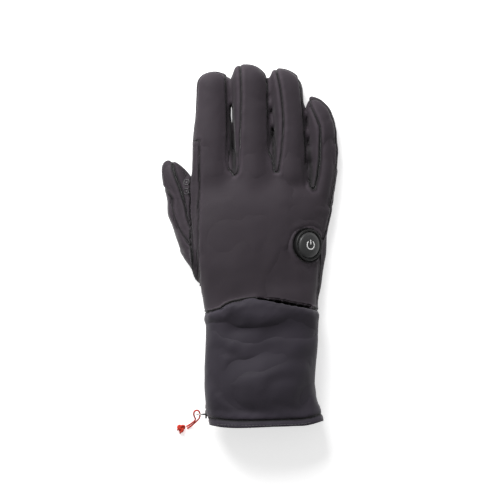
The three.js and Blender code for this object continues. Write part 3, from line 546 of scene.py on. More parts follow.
# The line between two fingers where their sides meet: its points in plan, from the crotch to the
# shorter tip. The sides touch, except in an open slit.
MEETINGS = [
    ((-12.3, 52), (-12.2, 60), (-12.6, 70), (-13.0, 80), (-13.6, 90), (-14.4, 100), (-14.6, 115),
     (-15.5, 138)),
    ((19.8, 55), (19.2, 60), (18.5, 70), (18.0, 80), (17.5, 90), (16.9, 100), (15.5, 115),
     (13.7, 136)),
    ((47.6, 42), (46.7, 55), (46.1, 65), (45.1, 80), (43.6, 100), (42.6, 115)),
]
SLIT = {"between": 0, "from": 95.0, "to": 108.0, "open": 0.25}
MEET_HEIGHT = 7.0
MEET_TALL = 5.2
MEET_REACH = 8.0
MEET_GAP = -0.2

# How strong the painted shade in creases and slits is, and how wide and how long a slit's painted shade is,
# in millimetres
CREASE_SHADE = 0.32
SLIT_SHADE_WIDE = 1.5
SLIT_SHADE_LONG = 40


def node_bmesh(node, grow=0.0):
    """A CAD node's mesh with its doubles merged, and its corners pushed out."""
    bm = bmesh.new()
    bm.from_mesh(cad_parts[node].data)
    bmesh.ops.remove_doubles(bm, verts=bm.verts, dist=0.001 * MM)
    bm.normal_update()
    for v in bm.verts:
        v.co += v.normal * grow
    return bm


def fused(nodes, voxel):
    """The nodes' solids as one even mesh, with the gaps between them closed."""
    joined = bpy.data.meshes.new("fused")
    bm = bmesh.new()
    for node in nodes:
        part = node_bmesh(node, OVERLAP)
        mesh = bpy.data.meshes.new("part")
        part.to_mesh(mesh)
        part.free()
        bm.from_mesh(mesh)
    bm.to_mesh(joined)
    bm.free()
    obj = link(bpy.data.objects.new("fused", joined))
    remesh = obj.modifiers.new("even", "REMESH")
    remesh.mode = "VOXEL"
    remesh.voxel_size = voxel
    even = bpy.data.meshes.new_from_object(obj.evaluated_get(bpy.context.evaluated_depsgraph_get()))
    bpy.data.objects.remove(obj)
    return even


def arrays(mesh):
    """A mesh's vertices and triangles."""
    co = np.empty(len(mesh.vertices) * 3)
    mesh.vertices.foreach_get("co", co)
    mesh.calc_loop_triangles()
    tri = np.empty(len(mesh.loop_triangles) * 3, np.int32)
    mesh.loop_triangles.foreach_get("vertices", tri)
    return co.reshape(-1, 3), tri.reshape(-1, 3)


def sides_of(tri):
    """Every triangle's first sides, then the second and the third, each as two vertices in order."""
    return np.sort(np.concatenate([tri[:, [0, 1]], tri[:, [1, 2]], tri[:, [2, 0]]]), axis=1)


def edges_of(tri):
    return np.unique(sides_of(tri), axis=0)


def normals_of(co, tri):
    face = np.cross(co[tri[:, 1]] - co[tri[:, 0]], co[tri[:, 2]] - co[tri[:, 0]])
    total = np.zeros_like(co)
    for corner in range(3):
        for axis in range(3):
            total[:, axis] += np.bincount(tri[:, corner], face[:, axis], len(co))
    return total / np.maximum(np.linalg.norm(total, axis=1, keepdims=True), 1e-12)


def compact(co, tri):
    """Only the vertices that the triangles use."""
    used, inverse = np.unique(tri, return_inverse=True)
    return co[used], inverse.reshape(-1, 3).astype(np.int32), used


def connected_to(start, count, edges):
    """Which vertices hang together with one of them."""
    label = np.arange(count)
    while True:
        low = np.minimum(label[edges[:, 0]], label[edges[:, 1]])
        new = label.copy()
        np.minimum.at(new, edges[:, 0], low)
        np.minimum.at(new, edges[:, 1], low)
        new = new[new]
        if (new == label).all():
            return label == label[start]
        label = new


def spread(values, edges, weight, rounds):
    """Values drawn half way to the mean of their neighbours, round after round."""
    count = np.maximum(np.bincount(edges.ravel(), minlength=len(values)), 1)[:, None]
    for _ in range(rounds):
        total = np.stack([
            np.bincount(edges[:, 0], column[edges[:, 1]], len(values))
            + np.bincount(edges[:, 1], column[edges[:, 0]], len(values))
            for column in values.T
        ], axis=1)
        values = values + weight[:, None] * 0.5 * (total / count - values)
    return values


def boundary_of(tri):
    """The edges that only one triangle has."""
    unique, count = np.unique(sides_of(tri), axis=0, return_counts=True)
    return unique[count == 1]


def mouth_line():
    """The hem's lower edge in plan, as x and y in order."""
    bm = node_bmesh("hem_band")
    points = np.array([v.co[:2] for v in bm.verts])
    bm.free()
    steps = np.arange(points[:, 0].min(), points[:, 0].max(), 2.5 * MM)
    lows = []
    for x in steps:
        near = points[np.abs(points[:, 0] - x) < 4.5 * MM]
        lows.append(near[:, 1].min() if len(near) else -0.14)
    lows = np.array(lows)
    for _ in range(3):
        lows[1:-1] = lows[1:-1] * 0.5 + (lows[:-2] + lows[2:]) * 0.25
    return steps, lows


def cut_at_mouth(mesh):
    """A mesh's vertices and triangles above a cut that runs along the hem's lower edge."""
    line = mouth_line()
    co = arrays(mesh)[0]
    co[:, 1] -= np.interp(co[:, 0], *line)
    mesh.vertices.foreach_set("co", co.ravel())
    bm = bmesh.new()
    bm.from_mesh(mesh)
    everything = bm.verts[:] + bm.edges[:] + bm.faces[:]
    bmesh.ops.bisect_plane(bm, geom=everything, dist=0.2 * MM, plane_co=(0, RIM_CUT, 0),
                           plane_no=(0, -1, 0), clear_outer=True)
    bm.to_mesh(mesh)
    bm.free()
    co, tri = arrays(mesh)
    co[:, 1] += np.interp(co[:, 0], *line)
    return co, tri


def outer_skin(voxel, rounds):
    """The outside of the whole glove as one open sheet, smoothed without losing its form. Where the
    outside and the inside hang together, as in the gauntlet, it takes in the inner face too."""
    co, tri = cut_at_mouth(fused(LABELS, voxel))
    outside = connected_to(int(co[:, 2].argmax()), len(co), edges_of(tri))
    co, tri = compact(co, tri[outside[tri].all(axis=1)])[:2]
    edges = edges_of(tri)
    border = boundary_of(tri)
    on_border = np.zeros(len(co), bool)
    on_border[border.ravel()] = True
    on_border &= co[:, 1] < MOUTH_Y + MOUTH_REACH
    co[on_border, 1] -= RIM_CUT - RIM_LEFT
    co = np.where(on_border[:, None], spread(co, border, on_border * 1.0, RIM_ROUNDS), co)
    start = co.copy()
    co = spread(co, edges, np.where(on_border, 0.0, 1.0), rounds)
    normal = normals_of(co, tri)
    lost = ((start - co) * normal).sum(axis=1, keepdims=True)
    lost = spread(lost, edges, np.ones(len(co)), 2 * rounds)
    co = co + normal * (lost - OVERLAP)
    knuckles = np.exp(-(((co[:, 1] / MM - KNUCKLES_Y) / KNUCKLES_REACH) ** 4))
    knuckles *= np.clip((normal[:, 2] - 0.5) * 4, 0, 1)
    return spread(co, edges, knuckles, 8 * rounds), tri


def distance_to(node, co):
    """How far each point lies from a CAD node, up to the reach of a seam."""
    low, high = (np.array(corner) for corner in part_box(node))
    near = np.all((co > low - SEAM_REACH) & (co < high + SEAM_REACH), axis=1)
    tree = BVHTree.FromBMesh(node_bmesh(node))
    out = np.full(len(co), SEAM_REACH)
    for i in np.flatnonzero(near):
        found = tree.find_nearest(co[i], SEAM_REACH)
        if found[0] is not None:
            out[i] = found[3]
    return out


def cut_along_seams(co, tri, distance):
    """Moves the vertices beside each seam onto it, gives each triangle its panel, and evens out
    the seam lines. Also returns which vertices lie on a seam."""
    label = distance.argmin(axis=0)
    edges = edges_of(tri)
    crossing = edges[label[edges[:, 0]] != label[edges[:, 1]]]
    i, j = crossing.T
    from_i = distance[label[j], i] - distance[label[i], i]
    from_j = distance[label[i], j] - distance[label[j], j]
    share = from_i / np.maximum(from_i + from_j, 1e-9)
    point = co[i] + share[:, None] * (co[j] - co[i])
    moved = np.where(share < 0.5, i, j)
    on_seam = np.zeros(len(co), bool)
    on_seam[moved] = True
    count = np.bincount(moved, minlength=len(co))[on_seam]
    placed = co.copy()
    for axis in range(3):
        placed[on_seam, axis] = np.bincount(moved, point[:, axis], len(co))[on_seam] / count
    free = ~on_seam[tri]
    panel = label[tri[np.arange(len(tri)), free.argmax(axis=1)]]
    none_free = ~free.any(axis=1)
    panel[none_free] = distance[:, tri[none_free]].sum(axis=2).argmin(axis=0)
    panel = without_spurs(tri, panel)
    seam = shared_edges(tri, panel)
    on_seam = np.zeros(len(co), bool)
    on_seam[seam.ravel()] = True
    placed = spread(placed, seam, on_seam * 1.0, SEAM_ROUNDS)
    near = np.partition(distance, 1, axis=0)[1] < BESIDE * MM
    open_edge = np.zeros(len(co), bool)
    open_edge[boundary_of(tri).ravel()] = True
    placed = spread(placed, edges, (near & ~on_seam & ~open_edge) * 1.0, BESIDE_ROUNDS)
    return placed, panel, on_seam


def without_spurs(tri, panel):
    """The triangles' panels, where each that pokes into another panel is given to that panel."""
    pairs = sides_of(tri)
    owner = np.tile(np.arange(len(tri)), 3)
    order = np.lexsort((pairs[:, 1], pairs[:, 0]))
    pairs, owner = pairs[order], owner[order]
    same = (pairs[1:] == pairs[:-1]).all(axis=1)
    one, two = owner[:-1][same], owner[1:][same]
    for _ in range(4):
        votes = np.zeros((len(tri), len(LABELS)), int)
        np.add.at(votes, (one, panel[two]), 1)
        np.add.at(votes, (two, panel[one]), 1)
        panel = np.where(votes.max(axis=1) > 1, votes.argmax(axis=1), panel)
    return panel


def shared_edges(tri, panel):
    """The edges between triangles of different panels."""
    pairs = sides_of(tri)
    owner = np.tile(panel, 3)
    order = np.lexsort((owner, pairs[:, 1], pairs[:, 0]))
    pairs, owner = pairs[order], owner[order]
    same = (pairs[1:] == pairs[:-1]).all(axis=1) & (owner[1:] != owner[:-1])
    return pairs[1:][same]


def beside(line_points, plan, reach):
    """For the points near a smooth line: which they are, how far along it as a share, how far
    from it, and how far to its right."""
    through = np.array(line_points, float)
    steps = np.linspace(0, len(through) - 1, 8 * (len(through) - 1) + 1)
    line = np.stack([np.interp(steps, range(len(through)), through[:, k]) for k in range(2)], axis=1)
    for _ in range(14):
        line[1:-1] = line[1:-1] * 0.5 + (line[:-2] + line[2:]) * 0.25
    in_reach = (plan > line.min(axis=0) - reach) & (plan < line.max(axis=0) + reach)
    near = np.flatnonzero(np.all(in_reach, axis=1))
    offset = plan[near][:, None, :] - line[None, :, :]
    away = np.hypot(offset[..., 0], offset[..., 1])
    nearest = away.argmin(axis=1)
    step = np.gradient(line, axis=0)[nearest]
    step /= np.hypot(step[:, 0], step[:, 1])[:, None]
    here = offset[np.arange(len(near)), nearest]
    right = step[:, 1] * here[:, 0] - step[:, 0] * here[:, 1]
    return near, nearest / (len(line) - 1), away.min(axis=1), right


def smooth_step(x):
    x = np.clip(x, 0, 1)
    return x * x * (3 - 2 * x)


def fold_heights(co):
    """How far the folds and slopes lift the cloth at each point, in metres."""
    rise = np.zeros(len(co))
    plan = co[:, :2] / MM
    for fold in FOLDS:
        wide = max(fold.left, fold.right)
        near, along, away, right = beside(fold.through, plan, 3 * wide)
        lean = 0.5 + 0.5 * right / np.maximum(away, 0.01)
        reach = fold.left + (fold.right - fold.left) * lean
        taper = np.sin(np.pi * np.clip(along, 0.08, 0.92)) ** 0.7
        rise[near] += fold.rise * taper * np.exp(-((away / reach) ** 2))
    x, y = plan.T
    for slope in SLOPES:
        top, bottom = slope.through[0][1], slope.through[-1][1]
        edge = np.interp(-y, [-p[1] for p in slope.through], [p[0] for p in slope.through])
        above = smooth_step((top + SLOPE_END - y) / (2 * SLOPE_END))
        below = smooth_step((y - bottom + SLOPE_END) / (2 * SLOPE_END))
        rise -= slope.drop * (above * below) * smooth_step((x - edge + 3) / slope.wide)
    return rise * MM


def meeting_shift(co, normal):
    """How far each point of the fingers' lower sides moves across, so that they meet."""
    shift = np.zeros(len(co))
    x, y, z = (co / MM).T
    for k, line in enumerate(MEETINGS):
        centre = np.interp(y, [p[1] for p in line], [p[0] for p in line])
        off = x - centre
        side = np.where(off > 0, 1.0, -1.0)
        low, high = line[0][1], line[-1][1]
        weight = np.exp(-(((z - MEET_HEIGHT) / MEET_TALL) ** 4))
        weight *= smooth_step((y - low - 1) / 6) * smooth_step((high - 3 - y) / 9)
        weight *= smooth_step((-normal[:, 0] * side + 0.05) / 0.3)
        weight *= 1 - smooth_step((np.abs(off) - MEET_REACH + 2) / 3)
        if k == SLIT["between"]:
            middle_y = (SLIT["from"] + SLIT["to"]) / 2
            along = (y - middle_y) / (SLIT["to"] - middle_y)
            weight *= 1 - SLIT["open"] * np.exp(-(along**6))
        shift -= weight * (np.abs(off) - MEET_GAP) * side
    return shift * MM


def slit_shade(co):
    """How deep in a slit between two fingers each point lies, from 0 to 1, as the strength of the painted
    shade there.
    """
    shade = np.zeros(len(co))
    x, y, _ = (co / MM).T
    for line in MEETINGS:
        low = line[0][1]
        off = x - np.interp(y, [p[1] for p in line], [p[0] for p in line])
        along = smooth_step((y - low - 2) / 3) * smooth_step((low + SLIT_SHADE_LONG - y) / 10)
        shade = np.maximum(shade, along * np.exp(-((off / SLIT_SHADE_WIDE) ** 2)))
    return shade


def noise_at(co, size, seed):
    """Smooth noise from -1 to 1 at each point, with features of a size."""
    return np.array([noise.noise(Vector(p) / size + Vector((seed, 0, 0))) for p in co])


def weigh(obj, name, weights):
    """Gives an object's vertices their weights in a new group."""
    group = obj.vertex_groups.new(name=name)
    for i, weight in enumerate(weights):
        group.add([i], float(weight), "REPLACE")


def above_mouth(co, rise):
    """From 0 at the glove's mouth to 1 at a rise above it."""
    return smooth_step((co[:, 1] - np.interp(co[:, 0], *mouth_line())) / rise)


def sewn_panel(name, co, tri, normal, distance, on_seam, base, swell_noise):
    """One panel of the skin, rolled down into its seams, with painted shade in its seam grooves, folds and
    finger slits and a painted highlight on the swell beside its seams.
    """
    mine = LABELS.index(name)
    others = distance.copy()
    others[mine] = np.inf
    other = others.argmin(axis=0)
    gap = np.where(on_seam, 0.0, others.min(axis=0)) / MM
    drop = np.zeros(len(co))
    dark = np.zeros(len(co))
    for kind in np.unique(other):
        seam = seam_of(name, LABELS[kind])
        here = other == kind
        g = gap[here]
        wave = 1 + 0.5 * swell_noise[here]
        beyond = (g - seam.swell_at) / (0.62 * seam.swell_at)
        swell = seam.swell * wave * np.exp(-(beyond**2))
        drop[here] = -seam.depth * np.exp(-((g / seam.groove) ** 2)) + swell
        dark[here] = seam.dark
    drop += 0.2 * swell_noise * np.exp(-gap / 5)
    place = co + normal * (base + drop * MM)[:, None]
    place[:, 2] = np.maximum(place[:, 2], GROUND_CLEAR)
    verts, faces, used = compact(place, tri)
    mesh = bpy.data.meshes.new(name + "_cloth")
    mesh.from_pydata(verts.tolist(), [], faces.tolist())
    # Painted shade in the valleys of the folds, stronger where they are deeper.
    crease_shade = CREASE_SHADE * smooth_step((-base / MM - 0.6) / 2.4)
    # Painted shade along each seam's groove, in the slits between the fingers and in the folds' valleys.
    shade = np.maximum(dark * np.exp(-((gap / 0.8) ** 2)), np.maximum(slit_shade(co), crease_shade))
    # The first attribute carries that painted shade. The second is a painted highlight on the swell beside
    # each seam, about 2.2 mm out.
    for attribute, values in (
        ("seam", shade),
        ("painted_highlight", np.exp(-(((gap - 2.2) / 1.3) ** 2)) * dark),
    ):
        layer = mesh.attributes.new(attribute, "FLOAT", "POINT")
        layer.data.foreach_set("value", values[used].astype(np.float32))
    obj = piece(name + "_cloth", mesh, PANELS[name], [name])
    wall = obj.modifiers.new("wall", "SOLIDIFY")
    wall.thickness = CLOTH_THICKNESS
    wall.offset = -1
    full = above_mouth(verts, THIN_RIM)
    if full.min() < 1:
        weigh(obj, "wall", full)
        wall.vertex_group = "wall"
        wall.thickness_vertex_group = 0.1
    return obj


SIM_VOXEL = 3.0 * MM
SIM_SMOOTH = 5
SIM_FRAMES = 20
SIM_CAP = 2.2 * MM
HELD_WITHIN = 1.5
FREE_FROM = 9.0


def simulated_moves():
    """Blows up a coarse, slightly slack copy of the skin, held at its seams, its hem and where it
    lies on the ground. Returns its points and how far each has moved."""
    co, tri = outer_skin(SIM_VOXEL, SIM_SMOOTH)
    distance = np.stack([distance_to(node, co) for node in LABELS])
    gap = np.partition(distance, 1, axis=0)[1] / MM
    held = 1 - smooth_step((gap - HELD_WITHIN) / (FREE_FROM - HELD_WITHIN))
    held[(co[:, 2] < 2 * MM) | (co[:, 1] < MOUTH_Y)] = 1
    mesh = bpy.data.meshes.new("slack_skin")
    mesh.from_pydata(co.tolist(), [], tri.tolist())
    obj = link(bpy.data.objects.new("slack_skin", mesh))
    weigh(obj, "held", held)
    cloth = obj.modifiers.new("cloth", "CLOTH")
    set_up = cloth.settings
    set_up.vertex_group_mass = "held"
    set_up.shrink_min = -0.05
    set_up.use_pressure = True
    set_up.uniform_pressure_force = 3
    set_up.tension_stiffness = set_up.compression_stiffness = 14
    set_up.shear_stiffness = 5
    set_up.bending_stiffness = 0.3
    set_up.effector_weights.gravity = 0
    cloth.collision_settings.use_collision = False
    cloth.point_cache.frame_end = SIM_FRAMES
    for frame_number in range(1, SIM_FRAMES + 1):
        scene.frame_set(frame_number)
    moved, _ = arrays(obj.evaluated_get(bpy.context.evaluated_depsgraph_get()).to_mesh())
    scene.frame_set(1)
    bpy.data.objects.remove(obj)
    move = moved - co
    long = np.maximum(np.linalg.norm(move, axis=1, keepdims=True), 1e-9)
    move *= SIM_CAP * np.tanh(long / SIM_CAP) / long
    return co, spread(move, edges_of(tri), np.ones(len(co)), 4)


def carried(points, moves, co):
    """The coarse points' moves, carried over to the finer skin."""
    tree = KDTree(len(points))
    for i, point in enumerate(points):
        tree.insert(point, i)
    tree.balance()
    out = np.empty_like(co)
    for i, place in enumerate(co):
        found = tree.find_n(place, 5)
        weight = np.array([1 / (f[2] + 0.3 * MM) ** 2 for f in found])
        out[i] = weight @ moves[[f[1] for f in found]] / weight.sum()
    return out


def add_cloth():
    """Every panel of the glove, cut from one skin."""
    co, tri = outer_skin(VOXEL, SMOOTH_ROUNDS)
    distance = np.stack([distance_to(node, co) for node in LABELS])
    co, panel, on_seam = cut_along_seams(co, tri, distance)
    moves = carried(*simulated_moves(), co)
    upward = np.clip((normals_of(co, tri)[:, 2:] - 0.1) / 0.6, 0, 1)
    moves *= upward * (0.35 + 0.35 * smooth_step((-40 - co[:, 1:2] / MM) / 16))
    co += spread(moves, edges_of(tri), np.ones(len(co)), CARRIED_ROUNDS)
    co[:, 2] = np.maximum(co[:, 2], 2 * GROUND_CLEAR)
    co[:, 0] += meeting_shift(co, normals_of(co, tri))
    edges = edges_of(tri)
    normal = normals_of(co, tri)
    upward = np.clip((normal[:, 2] + 0.15) / 0.6, 0, 1)
    base = fold_heights(co) * upward
    base += (0.35 * noise_at(co, 21 * MM, 0.0) + 0.14 * noise_at(co, 8 * MM, 5.0)) * MM
    base = spread(base[:, None], edges, np.ones(len(co)), 3)[:, 0]
    base *= above_mouth(co, EVEN_RIM)
    zip_edge = co[np.unique(tri[panel == LABELS.index("zip")])]
    swell_noise = noise_at(co, 5 * MM, 3.1)
    panels = {name: sewn_panel(name, co, tri[panel == k], normal, distance, on_seam, base, swell_noise)
              for k, name in enumerate(PANELS)}
    return panels, zip_edge


cloth, zip_edge = add_cloth()


# The push button

BUTTON_TILT = math.radians(34)
RING_SEGMENTS = 96
button_turn = Matrix.Rotation(BUTTON_TILT, 4, "Y")
button_place = Matrix.Translation(middle("button_ring")) @ button_turn


def spun(profile, name, place):
    """A profile of (radius, height) turned round its axis and put in its place."""
    bm = bmesh.new()
    verts = [bm.verts.new((r, 0, z)) for r, z in profile]
    edges = [bm.edges.new(pair) for pair in zip(verts, verts[1:])]
    bmesh.ops.spin(bm, geom=verts + edges, cent=(0, 0, 0), axis=(0, 0, 1), angle=2 * math.pi,
                   steps=RING_SEGMENTS, use_merge=True)
    bmesh.ops.remove_doubles(bm, verts=bm.verts, dist=0.002 * MM)
    bmesh.ops.transform(bm, matrix=place, verts=bm.verts)
    return mesh_of(bm, name)


def arc(radius, from_angle, to_angle, centre, steps=6):
    angles = [math.radians(from_angle + (to_angle - from_angle) * i / steps) for i in range(steps + 1)]
    return [(centre[0] + radius * math.cos(a), centre[1] + radius * math.sin(a)) for a in angles]


RING_RADIUS = 12.2 * MM
RING_WIDTH = 1.7 * MM
RING_DEPTH = 6.2 * MM
RING_ROUND = 0.6 * MM
CAP_RADIUS = 10.2 * MM
CAP_DOME = 1.9 * MM
CAP_FOOT = 0.9 * MM
CAP_EDGE_ROUND = 0.9 * MM
CAP_STEPS = 12
CAP_ROUND_STEPS = 4


def add_button():
    """A ring through the cloth and a domed cap with a generic power mark."""
    top = RING_DEPTH / 2
    inner = RING_RADIUS - RING_WIDTH
    ring = [
        (0, -top), (RING_RADIUS, -top),
        *arc(RING_ROUND, 0, 90, (RING_RADIUS - RING_ROUND, top - RING_ROUND)),
        *arc(RING_ROUND * 0.6, 90, 180, (inner + RING_ROUND * 0.6, top - RING_ROUND * 0.6)),
        (inner, -top * 0.05), (0, -top * 0.05),
    ]
    piece("button_bezel", spun(ring, "button_bezel", button_place), "ring_plastic",
          ["button_ring"])
    edge = top - 0.2 * MM
    rim = CAP_RADIUS - CAP_EDGE_ROUND
    dome = arc(CAP_EDGE_ROUND, 0, 90, (rim, edge - CAP_EDGE_ROUND), CAP_ROUND_STEPS)[:-1]
    dome += [(rim * math.cos(a), edge + CAP_DOME * math.sin(a))
             for a in (math.pi / 2 * i / CAP_STEPS for i in range(CAP_STEPS + 1))]
    dome[-1] = (0, edge + CAP_DOME)
    cap = [(0, CAP_FOOT), (CAP_RADIUS, CAP_FOOT), *dome]
    piece("button_dome", spun(cap, "button_dome", button_place), "button_rubber",
          ["button_cap"], "button")
    add_power_mark(lambda x, y: edge + CAP_DOME * math.sqrt(max(0, 1 - (x * x + y * y) / rim**2)))


MARK_RADIUS = 3.3 * MM
MARK_WIDTH = 0.85 * MM
MARK_PROUD = 0.07 * MM


def add_power_mark(height):
    """A broken circle with a bar in its gap, as a thin print on the dome."""
    bm = bmesh.new()

    def strip(left, right):
        rows = []
        for a, b in zip(left, right):
            rows.append([bm.verts.new((*p, height(*p) + MARK_PROUD)) for p in (a, b)])
        for low, high in zip(rows, rows[1:]):
            bm.faces.new((low[0], low[1], high[1], high[0]))

    inner, outer = MARK_RADIUS - MARK_WIDTH / 2, MARK_RADIUS + MARK_WIDTH / 2
    strip(arc(outer, 128, 412, (0, 0), 40), arc(inner, 128, 412, (0, 0), 40))
    ys = [MARK_RADIUS * (0.1 + 1.15 * i / 6) for i in range(7)]
    strip([(-MARK_WIDTH / 2, y) for y in ys], [(MARK_WIDTH / 2, y) for y in ys])
    grown = bmesh.ops.extrude_face_region(bm, geom=bm.faces[:])
    down = [v for v in grown["geom"] if isinstance(v, bmesh.types.BMVert)]
    bmesh.ops.translate(bm, vec=(0, 0, -2 * MARK_PROUD), verts=down)
    bmesh.ops.transform(bm, matrix=button_place, verts=bm.verts)
    piece("button_power_mark", mesh_of(bm, "button_power_mark"), "mark", (), "button")


add_button()


# The zip, its slider and bail

BAIL_RADIUS = 2.9 * MM
BAIL_WIRE = 0.45 * MM


def rounded(bm, radius, segments):
    bmesh.ops.bevel(bm, geom=bm.edges[:], offset=radius, segments=segments, profile=0.5,
                    affect="EDGES", material=-1)


def add_slider():
    """The slider's two plates with a waist between them, and the ear that holds the bail."""
    low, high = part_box("zip_slider")
    centre = (low + high) / 2
    size = high - low
    bm = bmesh.new()
    for side in (-1, 1):
        plate = bmesh.ops.create_cube(bm, size=1)["verts"]
        bmesh.ops.scale(bm, vec=(size.x * 0.2, size.y, size.z), verts=plate)
        x = high.x - size.x * 0.28 + side * size.x * 0.17
        bmesh.ops.translate(bm, vec=(x, centre.y, centre.z), verts=plate)
    waist = bmesh.ops.create_cube(bm, size=1)["verts"]
    bmesh.ops.scale(bm, vec=(size.x * 0.4, size.y * 0.5, size.z * 0.62), verts=waist)
    bmesh.ops.translate(bm, vec=(high.x - size.x * 0.28, centre.y, centre.z), verts=waist)
    rounded(bm, 0.45 * MM, 3)
    ear_x = high.x - size.x * 0.56
    ear = [Vector((ear_x - 2.1 * MM * math.sin(a), centre.y, centre.z + 2.1 * MM * math.cos(a)))
           for a in (math.pi * i / 10 for i in range(11))]
    bm.from_mesh(tube_mesh("slider_ear", ear, 0.6 * MM))
    piece("zip_slider_body", mesh_of(bm, "zip_slider_body"), "slider_metal", ["zip_slider"])


def add_bail():
    ring = [bail_middle + BAIL_RADIUS * Vector((math.cos(a), 0, math.sin(a)))
            for a in (2 * math.pi * i / 24 for i in range(24))]
    mesh = tube_mesh("zip_wire_bail", ring, BAIL_WIRE, closed=True)
    piece("zip_wire_bail", mesh, "bail_wire", ["zip_bail"])


def finish_tape():
    """The CAD's own tape stays, in the zip's nylon."""
    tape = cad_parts["zip"].data
    tape.materials.clear()
    tape.materials.append(finishes["zip_nylon"])


add_slider()
add_bail()
finish_tape()


# Small sewn and printed details

STITCH_PITCH = 2.7 * MM
STITCH_LENGTH = 1.9 * MM
STITCH_BELOW_ZIP = 3.7 * MM
THREAD = 0.2 * MM
TOOTH_PITCH = 1.5 * MM
TOOTH = Vector((0.75, 2.0, 0.9)) * MM
TOOTH_SUNK = 1.1 * MM
RING_ANCHOR = Vector((-48, 42, 22)) * MM
RING_PITCH = 7.3 * MM
RING_MAJOR = 2.3 * MM
RING_MINOR = 0.34 * MM
RING_MARGIN = 3.3 * MM
RING_POINTS = 22


def zip_path():
    """The middle of the zip's opening from one end to the other, every tooth."""
    steps = np.arange(zip_edge[:, 0].min() + 0.002, zip_edge[:, 0].max() - 0.002, TOOTH_PITCH)
    path = []
    for x in steps:
        near = zip_edge[np.abs(zip_edge[:, 0] - x) < 1.6 * MM]
        if len(near):
            path.append((x, near[:, 1].mean(), near[:, 2].mean()))
    path = np.array(path)
    for _ in range(6):
        path[1:-1] = path[1:-1] * 0.5 + (path[:-2] + path[2:]) * 0.25
    return [Vector(p) for p in path]


def add_zip_teeth(path):
    """The moulded teeth in the zip's opening."""
    bm = bmesh.new()
    for a, b, c in zip(path, path[1:], path[2:]):
        along = (c - a).normalized()
        out = along.cross(Vector((0, -1, 0))).normalized()
        out = out if out.z > 0 else -out
        across = out.cross(along)
        tooth = bmesh.ops.create_cube(bm, size=1)["verts"]
        bmesh.ops.scale(bm, vec=TOOTH, verts=tooth)
        turn = Matrix((along, across, out)).transposed().to_4x4()
        bmesh.ops.transform(bm, matrix=Matrix.Translation(b - out * TOOTH_SUNK) @ turn, verts=tooth)
    rounded(bm, 0.14 * MM, 2)
    piece("zip_teeth", mesh_of(bm, "zip_teeth"), "zip_nylon")


def surface(obj):
    """A tree of an object's own mesh, to cast and project on."""
    mesh = obj.data
    return BVHTree.FromPolygons([v.co for v in mesh.vertices], [p.vertices for p in mesh.polygons])


def add_stitches(path):
    """A row of thread along the hem."""
    tree = surface(cloth["hem_band"])
    line = np.array([tuple(p) for p in path])
    bm = bmesh.new()
    for x in np.arange(line[0, 0] + 0.003, line[-1, 0] - 0.004, STITCH_PITCH):
        ends = []
        for at in (x, x + STITCH_LENGTH / 2, x + STITCH_LENGTH):
            y = np.interp(at, line[:, 0], line[:, 1]) - STITCH_BELOW_ZIP
            place, normal, _, _ = tree.ray_cast(Vector((at, y, 0.1)), Vector((0, 0, -1)))
            if place is not None:
                ends.append(place + normal * THREAD * (0.9 if len(ends) == 1 else -0.5))
        if len(ends) == 3:
            bm.from_mesh(tube_mesh("stitch", ends, THREAD))
    piece("hem_stitches", mesh_of(bm, "hem_stitches"), "thread")


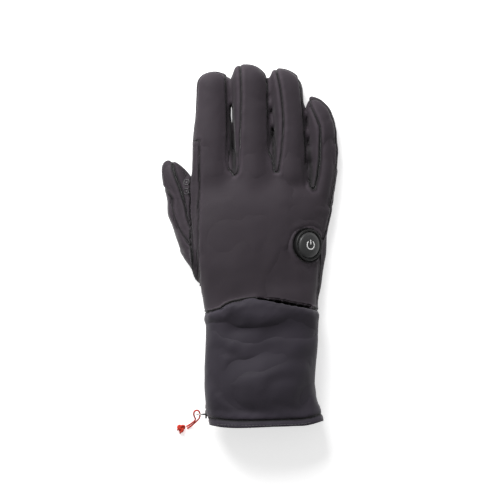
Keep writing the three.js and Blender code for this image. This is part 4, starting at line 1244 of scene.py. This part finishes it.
def add_grip_print():
    """Raised silicone rings with a dot in each, printed on the thumb's grip."""
    obj = cloth["thumb_grip"]
    tree = surface(obj)
    co, tri = arrays(obj.data)
    normal = normals_of(co, tri)
    border = co[np.unique(boundary_of(tri))]
    candidates = np.flatnonzero((normal[:, 2] > -0.3) & (co[:, 2] > 0.003))
    clear = [i for i in candidates if np.linalg.norm(border - co[i], axis=1).min() > RING_MARGIN]
    clear.sort(key=lambda i: (round(float(np.linalg.norm(co[i] - np.array(RING_ANCHOR))), 5), i))
    taken = []
    bm = bmesh.new()
    for i in clear:
        if all(np.linalg.norm(co[i] - co[j]) > RING_PITCH for j in taken):
            taken.append(i)
    for i in taken:
        centre = Vector(co[i])
        out = Vector(normal[i])
        u = out.orthogonal().normalized()
        w = out.cross(u)
        ring = []
        for k in range(RING_POINTS):
            a = 2 * math.pi * k / RING_POINTS
            place, face, _, _ = tree.find_nearest(centre + RING_MAJOR * (math.cos(a) * u + math.sin(a) * w))
            ring.append(place + face * RING_MINOR * 0.4)
        bm.from_mesh(tube_mesh("ring", ring, RING_MINOR, closed=True))
        dot = bmesh.ops.create_uvsphere(bm, u_segments=12, v_segments=8, radius=0.75 * MM)["verts"]
        bmesh.ops.scale(bm, vec=(1, 1, 0.45), verts=dot)
        turn = out.to_track_quat("Z", "Y").to_matrix().to_4x4()
        bmesh.ops.transform(bm, matrix=Matrix.Translation(centre + out * 0.05 * MM) @ turn, verts=dot)
    piece("thumb_grip_rings", mesh_of(bm, "thumb_grip_rings"), "silicone")


zip_line = zip_path()
add_zip_teeth(zip_line)
add_stitches(zip_line)
add_grip_print()


# Light and ground


def add_area(name, place, size, power):
    """A rectangular light that faces the middle of the glove."""
    data = bpy.data.lights.new(name, "AREA")
    data.shape = "RECTANGLE"
    data.size, data.size_y = size
    data.energy = power
    light = link(bpy.data.objects.new(name, data))
    light.location = place
    light.rotation_euler = (-Vector(place)).to_track_quat("-Z", "Y").to_euler()


def add_studio():
    """A pale floor, a dim white world and two lights."""
    bm = bmesh.new()
    bmesh.ops.create_grid(bm, x_segments=1, y_segments=1, size=6)
    mesh = bpy.data.meshes.new("floor")
    bm.to_mesh(mesh)
    bm.free()
    mesh.materials.append(floor_finish())
    floor = link(bpy.data.objects.new("floor", mesh))
    floor.location.z = CAD_BOX[0][2] - 0.05 * MM
    world = bpy.data.worlds.new("studio")
    world.use_nodes = True
    background = world.node_tree.nodes["Background"]
    background.inputs["Color"].default_value = (1, 1, 1, 1)
    background.inputs["Strength"].default_value = 0.2
    scene.world = world
    add_area("key", (-0.33, 0.72, 0.64), (0.6, 0.6), 13.6)
    add_area("top", (-0.2, 0.1, 1.8), (1.6, 1.4), 2)


add_studio()
scene.view_settings.view_transform = "Standard"
